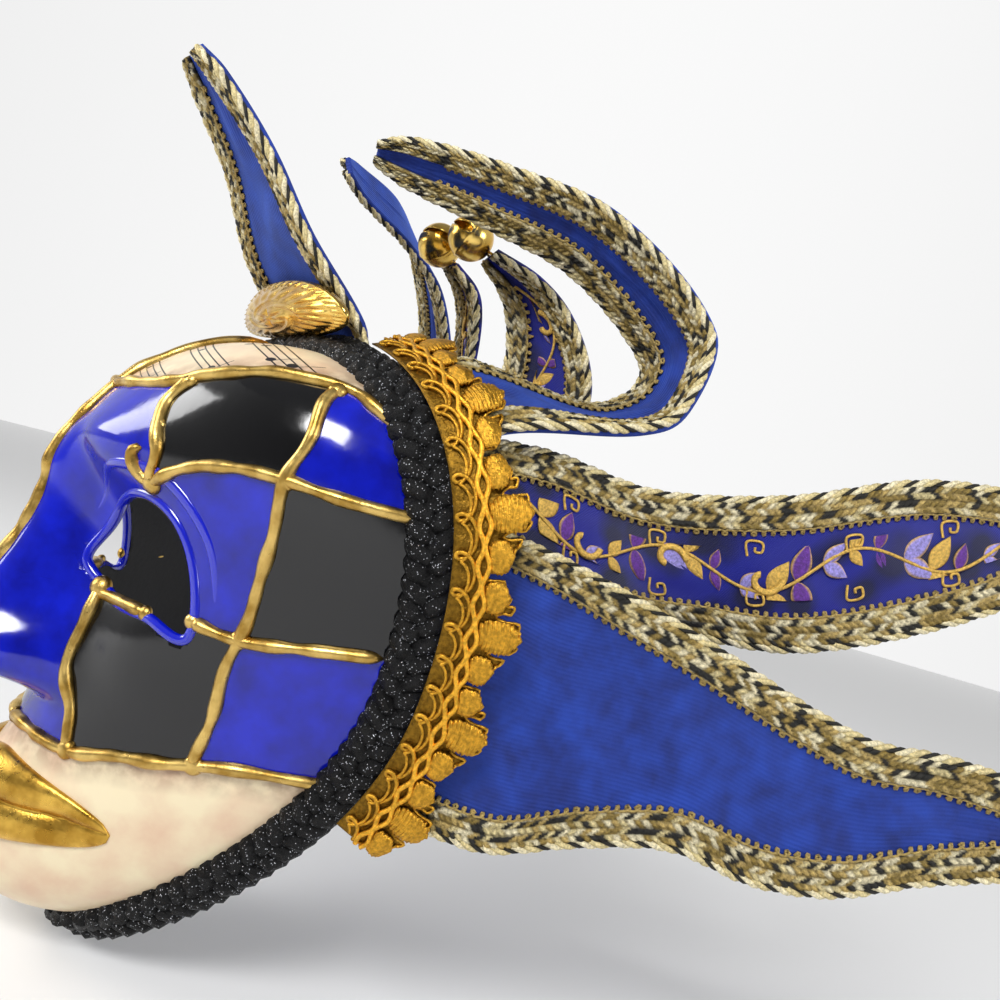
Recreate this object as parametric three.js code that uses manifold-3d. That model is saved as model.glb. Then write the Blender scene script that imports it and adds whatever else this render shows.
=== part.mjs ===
// A full-face carnival jester mask: a hollow painted shell with raised gold lines and gilt lips,
// a plaited cord round its rim, scalloped lace, a stamped medallion and nine pointed cloth panels
// bound with braid, two of them tipped with a jingle bell.
// Millimetres, +Z up. The face looks along -Y and +X is the wearer's left. The origin is inside
// the hollow, behind the nose, where the wearer's face sits.
import * as THREE from 'three';
import { mergeVertices } from 'three/addons/utils/BufferGeometryUtils.js';
import Module from 'manifold-3d';

const wasm = await Module();
wasm.setup();

// Shell
const HALF_WIDTH = 78;        // centre plane to rim, at the height of the rim's centre
const HALF_HEIGHT = 90;       // unit of the heights in the tables below
const TOP_REACH = 84;         // rim's centre to its top
const CHIN_REACH = 93;        // and to its bottom
const RIM_CENTRE_UP = -4;     // height of the rim's centre above the origin
const CROWN_SPREAD = 21;      // how much wider the half width is at the top than at the centre
const RIM_BACK = 5;           // how far forward of the origin the rim lies at the sides
const TOP_FORWARD = 25;       // how much further forward it lies at the top
const CHIN_FORWARD = 42;      // and at the chin
const DOME = 68;              // depth of the face from the rim's plane to the front
const NOSE_RISE = 30;         // nose above the cheeks
const WALL = 2.2;
const TOP_ROUND = 2.8;        // exponent of the rim's upper half, 2 is an ellipse
const LOW_ROUND = 1.85;       // and of its lower half
const FLARE_SIDE = 33;        // degrees that the rim's edge turns out at the sides
const FLARE_TOP = 22;         // and at the top

// Eye holes
const EYE_ACROSS = 31;
const EYE_UP = 12;
const EYE_WIDTH = 36;
const EYE_HEIGHT = 33;

// Relief and trims
const CLEAR = 0.35;           // gap between pieces that touch on the real mask
const LINE_WIDTH = 3.4;
const LINE_HEIGHT = 2.0;
const BLOB = 4.8;             // ball at the inner end of the lower lid line
const LIP_HALF_WIDTH = 37;
const LIP_HEIGHT = 24;
const LIP_UP = -60;
const LIP_THICK = 1.6;
const CORD_OUT = 5;           // rim cord beyond the shell's edge
const CORD_IN = 6;            // and over its face
const CORD_FRONT = 6;         // cord's thickness in front of the shell
const CORD_BACK = 4.6;        // and behind it
const LACE_WIDTH = 19;
const LACE_THICK = 2;
const LACE_REPEAT = 22;
const LACE_LIFT = 5.0;        // lace above the line of the shell's edge
const LACE_FROM = -22;        // degrees round the rim from the wearer's left
const LACE_TO = 72;
const CLOTH = 1.6;
const BRAID_WIDTH = 13;
const BRAID_THICK = 2.2;
const LAYER_STEP = 5.2;       // a panel of the back row lies this far behind one of the front row
const MEDALLION_ACROSS = 38;  // half width
const MEDALLION_DEEP = 8;     // half depth
const MEDALLION_TILT = 105;   // degrees that it stands up from the rim's line
const MEDALLION_RISE = 7;
const MEDALLION_SHEET = 1.6;
const BELL_RADIUS = 8;
const BELL_SLOT = 2.4;        // width of the slot across its front
const BELL_SLOT_DEEP = 4;

// Facial features of the height field. Columns: centre across and up and reach across and up as
// shares of the half width and half height, and rise as a share of the dome.
const FEATURES = [
  { across: 0.28, up: 0.49, wide: 0.26, tall: 0.10, rise: 0.074 },    // brow
  { across: 0.00, up: 0.55, wide: 0.32, tall: 0.20, rise: 0.10 },     // forehead
  { across: 0.346, up: 0.20, wide: 0.19, tall: 0.144, rise: -0.132 }, // eye socket
  { across: 0.54, up: -0.11, wide: 0.205, tall: 0.178, rise: 0.044 }, // cheek
  { across: 0.14, up: -0.19, wide: 0.077, tall: 0.078, rise: 0.103 }, // nostril wing
  { across: 0.00, up: -0.578, wide: 0.244, tall: 0.061, rise: 0.081 }, // upper lip
  { across: 0.00, up: -0.689, wide: 0.192, tall: 0.067, rise: 0.088 }, // lower lip
  { across: 0.346, up: -0.633, wide: 0.064, tall: 0.056, rise: -0.044 }, // mouth corner
  { across: 0.00, up: -0.889, wide: 0.205, tall: 0.10, rise: 0.103 }, // chin
];

// Eye outline, as shares of the eye's width and height from its centre.
const EYE_OUTLINE = [
  [-0.5, -0.16], [-0.40, 0.28], [-0.10, 0.48], [0.22, 0.46], [0.42, 0.18],
  [0.50, -0.46], [0.20, -0.42], [-0.20, -0.40],
];

// Gold lines on the wearer's left half, each a row of points: shares of the half width at that
// height, and of the half height from the rim's centre. The ones that start at 0 across run on
// into their mirror image, and ends near 1 run under the rim cord.
const LINES = {
  brow: [[0, 0.656], [0.27, 0.689], [0.406, 0.744], [0.518, 0.789], [0.59, 0.80], [0.654, 0.80],
    [0.723, 0.767], [0.75, 0.744]],
  temple: [[0.428, 0.40], [0.545, 0.478], [0.61, 0.50], [0.676, 0.511], [0.744, 0.511],
    [0.847, 0.50], [0.915, 0.50]],
  lidOuter: [[0.619, 0.056], [0.734, 0.044], [0.844, 0.067], [0.949, 0.10]],
  lidLower: [[0.216, 0.033], [0.343, 0.033], [0.47, 0.033]],
  cheek: [[0, -0.425], [0.143, -0.42], [0.29, -0.425], [0.406, -0.422], [0.53, -0.389],
    [0.64, -0.367], [0.72, -0.344], [0.815, -0.322], [0.91, -0.311]],
  side: [[0.72, -0.344], [0.736, -0.156], [0.734, 0.044], [0.752, 0.278], [0.744, 0.511],
    [0.732, 0.644], [0.654, 0.80]],
  lidUpper: [[0.428, 0.40], [0.442, 0.489], [0.40, 0.567], [0.361, 0.644], [0.366, 0.728]],
  tear: [[0.23, 0.055], [0.244, 0.011], [0.263, -0.089], [0.28, -0.167], [0.32, -0.289],
    [0.377, -0.422]],
};
const CENTRE_LINE = [[0, 0.90], [0, 0.78], [0, 0.66], [0, 0.52], [0, 0.36], [0, 0.18], [0, -0.02],
  [0, -0.18]];

// Cloth points. root holds the two ends of the sewn edge in degrees round the rim, layer 0 is the
// front row. Each section has: at, the share of the length; move, the centre's shift across, up
// and forward from the root as shares of the length; half, the half width across, up and forward
// as shares of the base half width.
const POINTS = {
  top_point: {
    root: [106, 74], layer: 0, set: 0.2, length: 84, base: 36,
    sections: [
      { at: 0.12, move: [0, 0.12, 0.035], half: [0.97, 0, 0] },
      { at: 0.38, move: [0, 0.35, 0.26], half: [0.80, 0, 0] },
      { at: 0.68, move: [0, 0.60, 0.44], half: [0.56, 0, 0] },
      { at: 0.90, move: [0, 0.79, 0.63], half: [0.37, 0, 0] },
      { at: 1.00, move: [0, 0.86, 0.71], half: [0.19, 0, 0] },
    ],
  },
  curled_point: {
    root: [66, 36], layer: 0, set: 0, length: 215, base: 22,
    sections: [
      { at: 0.10, move: [-0.005, 0.052, -0.084], half: [0.85, -0.42, 0] },
      { at: 0.28, move: [0.040, 0.074, -0.264], half: [0.90, -0.16, 0.18] },
      { at: 0.38, move: [0.057, 0.119, -0.324], half: [0.75, -0.13, 0.17] },
      { at: 0.47, move: [0.048, 0.202, -0.334], half: [0.66, 0.16, 0.02] },
      { at: 0.65, move: [-0.050, 0.314, -0.227], half: [0.48, 0.33, 0.11] },
      { at: 0.82, move: [-0.152, 0.352, -0.110], half: [0.24, 0.36, 0.10] },
      { at: 0.95, move: [-0.220, 0.365, 0.006], half: [0.16, 0.26, 0.07] },
      { at: 1.00, move: [-0.250, 0.369, 0.043], half: [0.07, 0.12, 0.03] },
    ],
  },
  bell_point: {
    root: [88, 67], layer: 1, set: 0, length: 125, base: 21, bell: true,
    sections: [
      { at: 0.25, move: [-0.012, 0.014, -0.222], half: [0.98, -0.06, -0.04] },
      { at: 0.48, move: [0.018, 0.054, -0.447], half: [0.90, -0.09, -0.22] },
      { at: 0.57, move: [0.013, 0.114, -0.517], half: [0.86, -0.08, -0.27] },
      { at: 0.67, move: [-0.002, 0.214, -0.517], half: [0.77, -0.03, -0.25] },
      { at: 0.79, move: [-0.042, 0.329, -0.477], half: [0.62, 0.02, -0.17] },
      { at: 0.90, move: [-0.082, 0.399, -0.417], half: [0.45, 0.06, -0.06] },
      { at: 1.00, move: [-0.117, 0.444, -0.327], half: [0.20, 0.05, 0.02] },
    ],
  },
  side_point: {
    root: [46, 22], layer: 1, set: 0, length: 192, base: 18,
    sections: [
      { at: 0.16, move: [0.032, -0.010, -0.157], half: [0.16, -1.00, -0.20] },
      { at: 0.31, move: [0.080, -0.025, -0.297], half: [0.15, -1.04, -0.22] },
      { at: 0.40, move: [0.127, -0.015, -0.374], half: [0.15, -1.04, -0.25] },
      { at: 0.55, move: [0.214, 0.013, -0.479], half: [0.16, -1.12, -0.26] },
      { at: 0.72, move: [0.304, 0.085, -0.623], half: [0.15, -1.08, -0.28] },
      { at: 0.88, move: [0.378, 0.140, -0.749], half: [0.12, -0.71, -0.19] },
      { at: 1.00, move: [0.420, 0.180, -0.839], half: [0.03, -0.18, -0.05] },
    ],
  },
  cheek_point: {
    root: [26, -18], layer: 0, set: 0.75, length: 192, base: 39,
    sections: [
      { at: 0.17, move: [0.070, -0.023, -0.150], half: [-0.04, -1.00, 0] },
      { at: 0.28, move: [0.149, -0.014, -0.240], half: [-0.02, -0.82, 0.01] },
      { at: 0.40, move: [0.228, -0.013, -0.324], half: [-0.01, -0.65, 0.01] },
      { at: 0.52, move: [0.288, -0.040, -0.423], half: [-0.01, -0.60, 0] },
      { at: 0.62, move: [0.345, -0.047, -0.512], half: [-0.01, -0.51, 0] },
      { at: 0.73, move: [0.402, -0.022, -0.595], half: [-0.01, -0.42, -0.03] },
      { at: 0.88, move: [0.480, 0, -0.720], half: [0, -0.27, -0.02] },
      { at: 1.00, move: [0.543, 0.042, -0.824], half: [0, -0.10, -0.01] },
    ],
  },
};

// Small helpers
const clamp01 = (t) => Math.min(1, Math.max(0, t));
const smooth = (t) => clamp01(t) ** 2 * (3 - 2 * clamp01(t));
const radians = (degrees) => degrees * Math.PI / 180;
const place = (across, up, forward) => new THREE.Vector3(across, -forward, up);
const step = (point, ...moves) => {
  const end = point.clone();
  for (const [direction, distance] of moves) end.addScaledVector(direction, distance);
  return end;
};

// Rim: an upright oval, wider at the top, that bends forward at the forehead and the chin.
const roundAt = (rise) => (rise > 0 ? TOP_ROUND : LOW_ROUND);
const reachAt = (rise) => (rise > 0 ? TOP_REACH : CHIN_REACH) / HALF_HEIGHT;

function superShares(share, degrees) {
  const c = Math.cos(radians(degrees));
  const s = Math.sin(radians(degrees));
  const power = 2 / roundAt(s);
  return [share * Math.sign(c) * Math.abs(c) ** power,
    share * Math.sign(s) * Math.abs(s) ** power * reachAt(s)];
}

const acrossAt = (side, rise) => (HALF_WIDTH + CROWN_SPREAD * rise) * side;
const upAt = (rise) => RIM_CENTRE_UP + HALF_HEIGHT * rise;
const rimForward = (rise) => RIM_BACK + TOP_FORWARD * Math.max(rise, 0) ** 2
  + CHIN_FORWARD * Math.max(-rise, 0) ** 2;

function rimPoint(degrees) {
  const [side, rise] = superShares(1, degrees);
  return place(acrossAt(side, rise), upAt(rise), rimForward(rise));
}

// Height of the face over the frontal plane: a dome inside the rim plus the features.
function faceForward(across, up) {
  const rise = (up - RIM_CENTRE_UP) / HALF_HEIGHT;
  const side = across / (HALF_WIDTH + CROWN_SPREAD * rise);
  const power = roundAt(rise);
  const steep = Math.abs(rise) / reachAt(rise);
  const share = Math.min(1, (Math.abs(side) ** power + steep ** power) ** (1 / power));
  const upright = clamp01(steep / Math.max(share, 1e-6)) ** 2;
  const acrossDome = (1 - share ** 2) ** 0.8;
  const uprightDome = Math.sqrt(1 - share ** 3);
  let relief = 0;
  for (const { across: a, up: u, wide, tall, rise: height } of FEATURES) {
    const x = (Math.abs(across) - a * HALF_WIDTH) / (wide * HALF_WIDTH);
    const y = (rise - u) / tall;
    relief += DOME * height * Math.exp(-x * x - y * y);
  }
  const down = clamp01((0.467 - rise) / 0.667);
  const bridge = smooth((0.578 - rise) / 0.222) * smooth((rise + 0.333) / 0.10);
  const noseHalf = HALF_WIDTH * (0.096 + 0.09 * down);
  relief += NOSE_RISE * (0.27 + 0.73 * down ** 1.3) * bridge
    * Math.exp(-((Math.abs(across) / noseHalf) ** 2.4));
  return rimForward(rise) + DOME * (acrossDome + (uprightDome - acrossDome) * upright)
    + relief * smooth((1 - share) / 0.25);
}

const facePoint = (across, up) => place(across, up, faceForward(across, up));

function faceNormal(across, up) {
  const d = 0.05;
  const slopeAcross = (faceForward(across + d, up) - faceForward(across - d, up)) / (2 * d);
  const slopeUp = (faceForward(across, up + d) - faceForward(across, up - d)) / (2 * d);
  return place(-slopeAcross, -slopeUp, 1).normalize();
}

// Frame at the rim: along it, off its edge, and out from the shell's face.
function rimFrame(degrees) {
  const point = rimPoint(degrees);
  const along = rimPoint(degrees + 0.1).sub(rimPoint(degrees - 0.1)).normalize();
  const outward = new THREE.Vector3(along.z, 0, -along.x).normalize();
  const flare = radians(FLARE_TOP + (FLARE_SIDE - FLARE_TOP) * Math.cos(radians(degrees)) ** 2);
  const off = outward.clone().multiplyScalar(Math.sin(flare)).add(place(0, 0, -Math.cos(flare)));
  off.addScaledVector(along, -off.dot(along)).normalize();
  const out = new THREE.Vector3().crossVectors(along, off).normalize();
  if (out.dot(outward) < 0) out.negate();
  return { point, along, off, out };
}

function offRim(degrees, off, out) {
  const frame = rimFrame(degrees);
  return step(frame.point, [frame.off, off], [frame.out, out]);
}

// Meshes from triangles
function geometry(corners, triangles) {
  const shape = new THREE.BufferGeometry();
  shape.setAttribute('position', new THREE.Float32BufferAttribute(corners.flatMap((p) => p.toArray()), 3));
  shape.setIndex(triangles.flat());
  const welded = mergeVertices(shape, 1e-3);
  const index = welded.index.array;
  const kept = [];
  for (let i = 0; i < index.length; i += 3) {
    const [a, b, c] = index.slice(i, i + 3);
    if (a !== b && b !== c && c !== a) kept.push(a, b, c);
  }
  welded.setIndex(kept);
  return outwards(welded);
}

// Turns the faces round where they point inwards, by the sign of the enclosed volume.
function outwards(shape) {
  const at = shape.attributes.position;
  const index = shape.index.array;
  const [a, b, c] = [new THREE.Vector3(), new THREE.Vector3(), new THREE.Vector3()];
  let volume = 0;
  for (let i = 0; i < index.length; i += 3) {
    a.fromBufferAttribute(at, index[i]);
    b.fromBufferAttribute(at, index[i + 1]);
    c.fromBufferAttribute(at, index[i + 2]);
    volume += a.dot(b.cross(c));
  }
  return volume < 0 ? turnedOver(shape) : shape;
}

// The same triangles in the same order, each with its other side up.
function turnedOver(shape) {
  const index = Array.from(shape.index.array);
  for (let i = 0; i < index.length; i += 3) [index[i], index[i + 1]] = [index[i + 1], index[i]];
  shape.setIndex(index);
  return shape;
}

function toSolid(shape) {
  const bare = shape.clone();
  for (const name of Object.keys(bare.attributes)) {
    if (name !== 'position') bare.deleteAttribute(name);
  }
  const merged = mergeVertices(bare, 1e-4);
  return new wasm.Manifold(new wasm.Mesh({
    numProp: 3,
    vertProperties: new Float32Array(merged.attributes.position.array),
    triVerts: new Uint32Array(merged.index.array),
  }));
}

function fromSolid(solid) {
  const mesh = solid.getMesh();
  const shape = new THREE.BufferGeometry();
  shape.setAttribute('position', new THREE.BufferAttribute(mesh.vertProperties, 3));
  shape.setIndex(new THREE.BufferAttribute(mesh.triVerts, 1));
  return shape;
}

const joined = (shapes) => fromSolid(shapes.map(toSolid).reduce((sum, next) => sum.add(next)));

// The mirror image in the centre plane, with its faces turned out again.
const mirrored = (shape) => turnedOver(shape.clone().scale(-1, 1, 1));

// A closed solid from rings of equal corner counts, capped at both ends or closed on itself.
function sweep(rings, closed) {
  const size = rings[0].length;
  const count = rings.length;
  const corners = rings.flat();
  const triangles = [];
  for (let i = 0; i < (closed ? count : count - 1); i += 1) {
    for (let j = 0; j < size; j += 1) {
      const [a, b] = [i * size + j, i * size + (j + 1) % size];
      const [c, d] = [((i + 1) % count) * size + j, ((i + 1) % count) * size + (j + 1) % size];
      triangles.push([a, b, c], [b, d, c]);
    }
  }
  if (!closed) {
    for (let j = 1; j < size - 1; j += 1) {
      triangles.push([0, j + 1, j]);
      triangles.push([(count - 1) * size, (count - 1) * size + j, (count - 1) * size + j + 1]);
    }
  }
  return geometry(corners, triangles);
}

// A solid sheet: front faces, the same faces on the back, and a wall along each free edge.
function sheet(front, back, faces) {
  const size = front.length;
  const used = new Map();
  for (const [a, b, c] of faces) {
    for (const [from, to] of [[a, b], [b, c], [c, a]]) used.set(`${from},${to}`, [from, to]);
  }
  const triangles = [];
  for (const [from, to] of used.values()) {
    if (!used.has(`${to},${from}`)) {
      triangles.push([to, from, from + size], [to, from + size, to + size]);
    }
  }
  for (const [a, b, c] of faces) triangles.push([a, b, c], [a + size, c + size, b + size]);
  return geometry([...front, ...back], triangles);
}

// Shell
const RINGS = [0, 0.09, 0.18, 0.27, 0.36, 0.46, 0.56, 0.66, 0.76, 0.85, 0.93, 0.98, 1];
const SPOKES = 36;

// The shell without its eye holes, or with a margin round it on every side.
function shellBody(margin = 0) {
  const outer = [];
  const inner = [];
  for (const share of RINGS) {
    for (let i = 0; i < SPOKES; i += 1) {
      const degrees = 360 * i / SPOKES;
      if (share === 1) {
        outer.push(offRim(degrees, margin, margin));
        inner.push(offRim(degrees, margin, -WALL - margin));
      } else {
        const [side, rise] = superShares(share, degrees);
        const [across, up] = [acrossAt(side, rise), upAt(rise)];
        const [middle, normal] = [facePoint(across, up), faceNormal(across, up)];
        outer.push(step(middle, [normal, margin]));
        inner.push(step(middle, [normal, -WALL - margin]));
      }
    }
  }
  const faces = [];
  for (let r = 0; r < RINGS.length - 1; r += 1) {
    for (let i = 0; i < SPOKES; i += 1) {
      const [a, b] = [r * SPOKES + i, r * SPOKES + (i + 1) % SPOKES];
      if (r > 0) faces.push([a, a + SPOKES, b]);
      if (r > 0) faces.push([b, a + SPOKES, b + SPOKES]);
      else faces.push([0, a + SPOKES, b + SPOKES]);
    }
  }
  return sheet(outer, inner, faces);
}

function eyeCutter(mirror) {
  const curve = new THREE.SplineCurve([...EYE_OUTLINE, EYE_OUTLINE[0]].map(
    ([a, u]) => new THREE.Vector2(mirror * (EYE_ACROSS + a * EYE_WIDTH), EYE_UP + u * EYE_HEIGHT)));
  const outline = new THREE.Shape(curve.getSpacedPoints(18).slice(0, -1));
  const reach = DOME + NOSE_RISE + TOP_FORWARD + CHIN_FORWARD;
  const block = new THREE.ExtrudeGeometry(outline, { depth: reach, bevelEnabled: false });
  return block.rotateX(Math.PI / 2);
}

function faceShell() {
  const cutters = [1, -1].map((mirror) => {
    const shape = mergeable(eyeCutter(mirror));
    return toSolid(shape);
  });
  return fromSolid(toSolid(shellBody()).subtract(cutters[0]).subtract(cutters[1]));
}

// Only the corners of a geometry, welded, so that a closed solid is left.
function mergeable(shape) {
  const bare = new THREE.BufferGeometry();
  bare.setAttribute('position', shape.attributes.position.clone());
  if (shape.index) bare.setIndex(shape.index.clone());
  return mergeVertices(bare, 1e-3);
}

// What is left of a piece beside the shell's facets, with the gap to them.
const clearOfShell = (shape) => fromSolid(toSolid(shape).subtract(toSolid(shellBody(CLEAR))));

// Rim cord: a plait folded over the shell's edge, or the same ring with a margin round it.
function cordRing(margin = 0) {
  const back = -WALL - CORD_BACK - margin;
  const [front, outer, inner] = [CORD_FRONT + margin, CORD_OUT + margin, CORD_IN + margin];
  const section = [
    [outer, 0.6 * back], [outer, 0.6 * front], [0.5 * outer, front], [-0.6 * inner, front],
    [-inner, 0.5 * front], [-inner, 0.6 * back], [-0.6 * inner, back], [0.5 * outer, back],
  ];
  const rings = [];
  for (let i = 0; i < SPOKES; i += 1) {
    const frame = rimFrame(360 * i / SPOKES);
    rings.push(section.map(([off, out]) => step(frame.point, [frame.off, off], [frame.out, out])));
  }
  return sweep(rings, true);
}

const rimCord = () => clearOfShell(cordRing());

// Gold lines: a half-round bead of paste that lies on the shell.
function line(shares, spacing = 13) {
  const flat = shares.map(([a, u]) => new THREE.Vector2(acrossAt(a, u), upAt(u)));
  const curve = new THREE.SplineCurve(flat);
  const steps = Math.max(2, Math.round(curve.getLength() / spacing));
  const spots = curve.getSpacedPoints(steps);
  const rings = spots.map((spot, i) => {
    const before = spots[Math.max(0, i - 1)];
    const after = spots[Math.min(steps, i + 1)];
    const normal = faceNormal(spot.x, spot.y);
    const along = facePoint(after.x, after.y).sub(facePoint(before.x, before.y)).normalize();
    const sideways = new THREE.Vector3().crossVectors(along, normal).normalize();
    const foot = step(facePoint(spot.x, spot.y), [normal, CLEAR + 0.4]);
    const half = LINE_WIDTH / 2;
    return [[-1, 0], [-0.55, 1], [0.55, 1], [1, 0]].map(
      ([wide, high]) => step(foot, [sideways, wide * half], [normal, high * LINE_HEIGHT]));
  });
  return sweep(rings, false);
}

function blob(side, rise) {
  const [across, up] = [acrossAt(side, rise), upAt(rise)];
  const centre = step(facePoint(across, up), [faceNormal(across, up), BLOB / 2 + CLEAR + 0.25]);
  return mergeable(new THREE.SphereGeometry(BLOB / 2, 8, 5).translate(centre.x, centre.y, centre.z));
}

function goldLines() {
  const left = [...Object.values(LINES).map((shares) => line(shares)), blob(0.235, 0.05)];
  const network = clearOfShell(joined([...left, ...left.map(mirrored), line(CENTRE_LINE)]));
  return fromSolid(toSolid(network).subtract(toSolid(cordRing(CLEAR))));
}

// Lips: a thin gilt pad over the painted mouth, pointed at both corners and bowed at the top.
function giltLips() {
  const columns = 10;
  const rows = 3;
  const front = [];
  const back = [];
  for (let i = 0; i <= columns; i += 1) {
    const t = 2 * i / columns - 1;
    const full = Math.sqrt(1 - Math.abs(t) ** 1.6) + 0.04;
    const bow = 0.5 * LIP_HEIGHT * (full - 0.16 * Math.exp(-((t / 0.16) ** 2)));
    const low = -0.5 * LIP_HEIGHT * full;
    for (let j = 0; j <= rows; j += 1) {
      const [across, up] = [t * LIP_HALF_WIDTH, LIP_UP + low + (bow - low) * j / rows];
      const normal = faceNormal(across, up);
      back.push(step(facePoint(across, up), [normal, CLEAR + 0.4]));
      front.push(step(facePoint(across, up), [normal, CLEAR + 0.4 + LIP_THICK]));
    }
  }
  const faces = [];
  for (let i = 0; i < columns; i += 1) {
    for (let j = 0; j < rows; j += 1) {
      const a = i * (rows + 1) + j;
      faces.push([a, a + rows + 1, a + 1], [a + 1, a + rows + 1, a + rows + 2]);
    }
  }
  return clearOfShell(sheet(front, back, faces));
}

// Lace: one scalloped repeat of three loops, drawn in shares of its length and the lace's width.
const LACE_OUTLINE = [
  [0, 0], [0.33, 0], [0.67, 0], [1, 0], [1, 0.42], [0.93, 0.70], [0.80, 0.80], [0.70, 0.60],
  [0.63, 0.62], [0.60, 0.96], [0.50, 1], [0.40, 0.96], [0.37, 0.62], [0.30, 0.60], [0.20, 0.80],
  [0.07, 0.70], [0, 0.42],
];
const LACE_HOLES = [
  [[0.14, 0.30], [0.27, 0.48], [0.38, 0.30], [0.27, 0.14]],
  [[0.62, 0.30], [0.73, 0.48], [0.86, 0.30], [0.73, 0.14]],
];

function laceStrip() {
  const inner = CORD_OUT + CLEAR;
  const spread = rimLength(LACE_FROM, LACE_TO);
  const repeats = Math.round(spread.total / LACE_REPEAT);
  const front = [];
  const back = [];
  const faces = [];
  const toVector = ([s, e]) => new THREE.Vector2(s, e);
  for (let k = 0; k < repeats; k += 1) {
    const outline = LACE_OUTLINE.map(toVector);
    const holes = LACE_HOLES.map((hole) => hole.map(toVector));
    const base = front.length;
    for (const { x, y } of [outline, ...holes].flat()) {
      const degrees = spread.degreesAt((k + x) / repeats);
      front.push(offRim(degrees, inner + y * LACE_WIDTH, LACE_LIFT + LACE_THICK));
      back.push(offRim(degrees, inner + y * LACE_WIDTH, LACE_LIFT));
    }
    for (const face of THREE.ShapeUtils.triangulateShape(outline, holes)) {
      faces.push(face.map((corner) => corner + base));
    }
  }
  return weldedSheet(front, back, faces);
}

// As sheet, after corners of neighbouring repeats that coincide have been given one number.
function weldedSheet(front, back, faces) {
  const seen = new Map();
  const number = front.map((p, i) => {
    const key = p.toArray().map((v) => v.toFixed(3)).join();
    if (!seen.has(key)) seen.set(key, i);
    return seen.get(key);
  });
  const renumbered = faces.map((face) => face.map((corner) => number[corner]));
  return sheet(front, back, renumbered.filter(([a, b, c]) => a !== b && b !== c && c !== a));
}

// Degrees round the rim for an even share of the way along it.
function rimLength(from, to) {
  const count = 200;
  const lengths = [0];
  for (let i = 1; i <= count; i += 1) {
    const [a, b] = [from + (to - from) * (i - 1) / count, from + (to - from) * i / count];
    lengths.push(lengths[i - 1] + rimPoint(a).distanceTo(rimPoint(b)));
  }
  const total = lengths[count];
  const degreesAt = (share) => {
    const i = Math.min(count - 1, lengths.findIndex((l) => l >= share * total - 1e-9) - 1);
    const low = Math.max(0, i);
    const part = (share * total - lengths[low]) / (lengths[low + 1] - lengths[low]);
    return from + (to - from) * (low + part) / count;
  };
  return { total, degreesAt };
}

// Cloth points
const STATIONS = 12;

// The middle surface of a point at a share along and a share across from -1 to 1, the direction
// it faces, and the share across that the cloth shows between the two braids.
function pointSurface({ root, layer, set, length, base, sections }) {
  const seat = CORD_OUT + CLEAR + set;
  const depth = -layer * LAYER_STEP;
  const rootEdge = (across) => offRim(
    (root[0] + root[1]) / 2 + across * (root[1] - root[0]) / 2, seat, depth);
  const start = rootEdge(-1).add(rootEdge(1)).multiplyScalar(0.5);
  const half = rootEdge(1).sub(rootEdge(-1)).multiplyScalar(0.5);
  const centres = [start, ...sections.map(
    ({ move: [a, u, f] }) => start.clone().add(place(a, u, f).multiplyScalar(length)))];
  const halves = [half, ...sections.map(({ half: [a, u, f] }) => place(a, u, f).multiplyScalar(base))];
  const ats = [0, ...sections.map(({ at }) => at)];
  const surface = (along, across) => {
    const bend = 1 - smooth(along / 0.3);
    const flat = cubic(ats, centres, along).addScaledVector(cubic(ats, halves, along), across);
    const curl = rootEdge(across).sub(start).addScaledVector(half, -across);
    return flat.addScaledVector(curl, bend);
  };
  const facing = (along, across) => {
    const [a0, a1] = [Math.max(0, along - 0.02), Math.min(1, along + 0.02)];
    const alongStep = surface(a1, across).sub(surface(a0, across));
    const acrossStep = surface(along, Math.min(1, across + 0.1)).sub(
      surface(along, Math.max(-1, across - 0.1)));
    const bent = acrossStep.cross(alongStep).normalize();
    const sewn = rimFrame((root[0] + root[1]) / 2 + across * (root[1] - root[0]) / 2).out;
    return sewn.lerp(bent, smooth(along / 0.15)).normalize();
  };
  const cloth = (along) => {
    const halfWidth = surface(along, 1).distanceTo(surface(along, -1)) / 2;
    return Math.max(0, 1 - BRAID_WIDTH / halfWidth);
  };
  return { surface, facing, cloth };
}

// Smooth interpolation of vectors given at uneven shares, with limited tangents.
function cubic(ats, values, at) {
  let i = 0;
  while (i < ats.length - 2 && at > ats[i + 1]) i += 1;
  const slope = (k) => {
    const [low, high] = [Math.max(0, k - 1), Math.min(ats.length - 1, k + 1)];
    return values[high].clone().sub(values[low]).divideScalar(ats[high] - ats[low]);
  };
  const span = ats[i + 1] - ats[i];
  const t = (at - ats[i]) / span;
  const sum = values[i].clone().multiplyScalar(2 * t ** 3 - 3 * t ** 2 + 1);
  sum.addScaledVector(values[i + 1], -2 * t ** 3 + 3 * t ** 2);
  sum.addScaledVector(slope(i), (t ** 3 - 2 * t ** 2 + t) * span);
  return sum.addScaledVector(slope(i + 1), (t ** 3 - t ** 2) * span);
}

const stationAt = (i) => 1 - (1 - i / (STATIONS - 1)) ** 1.25;

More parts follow.
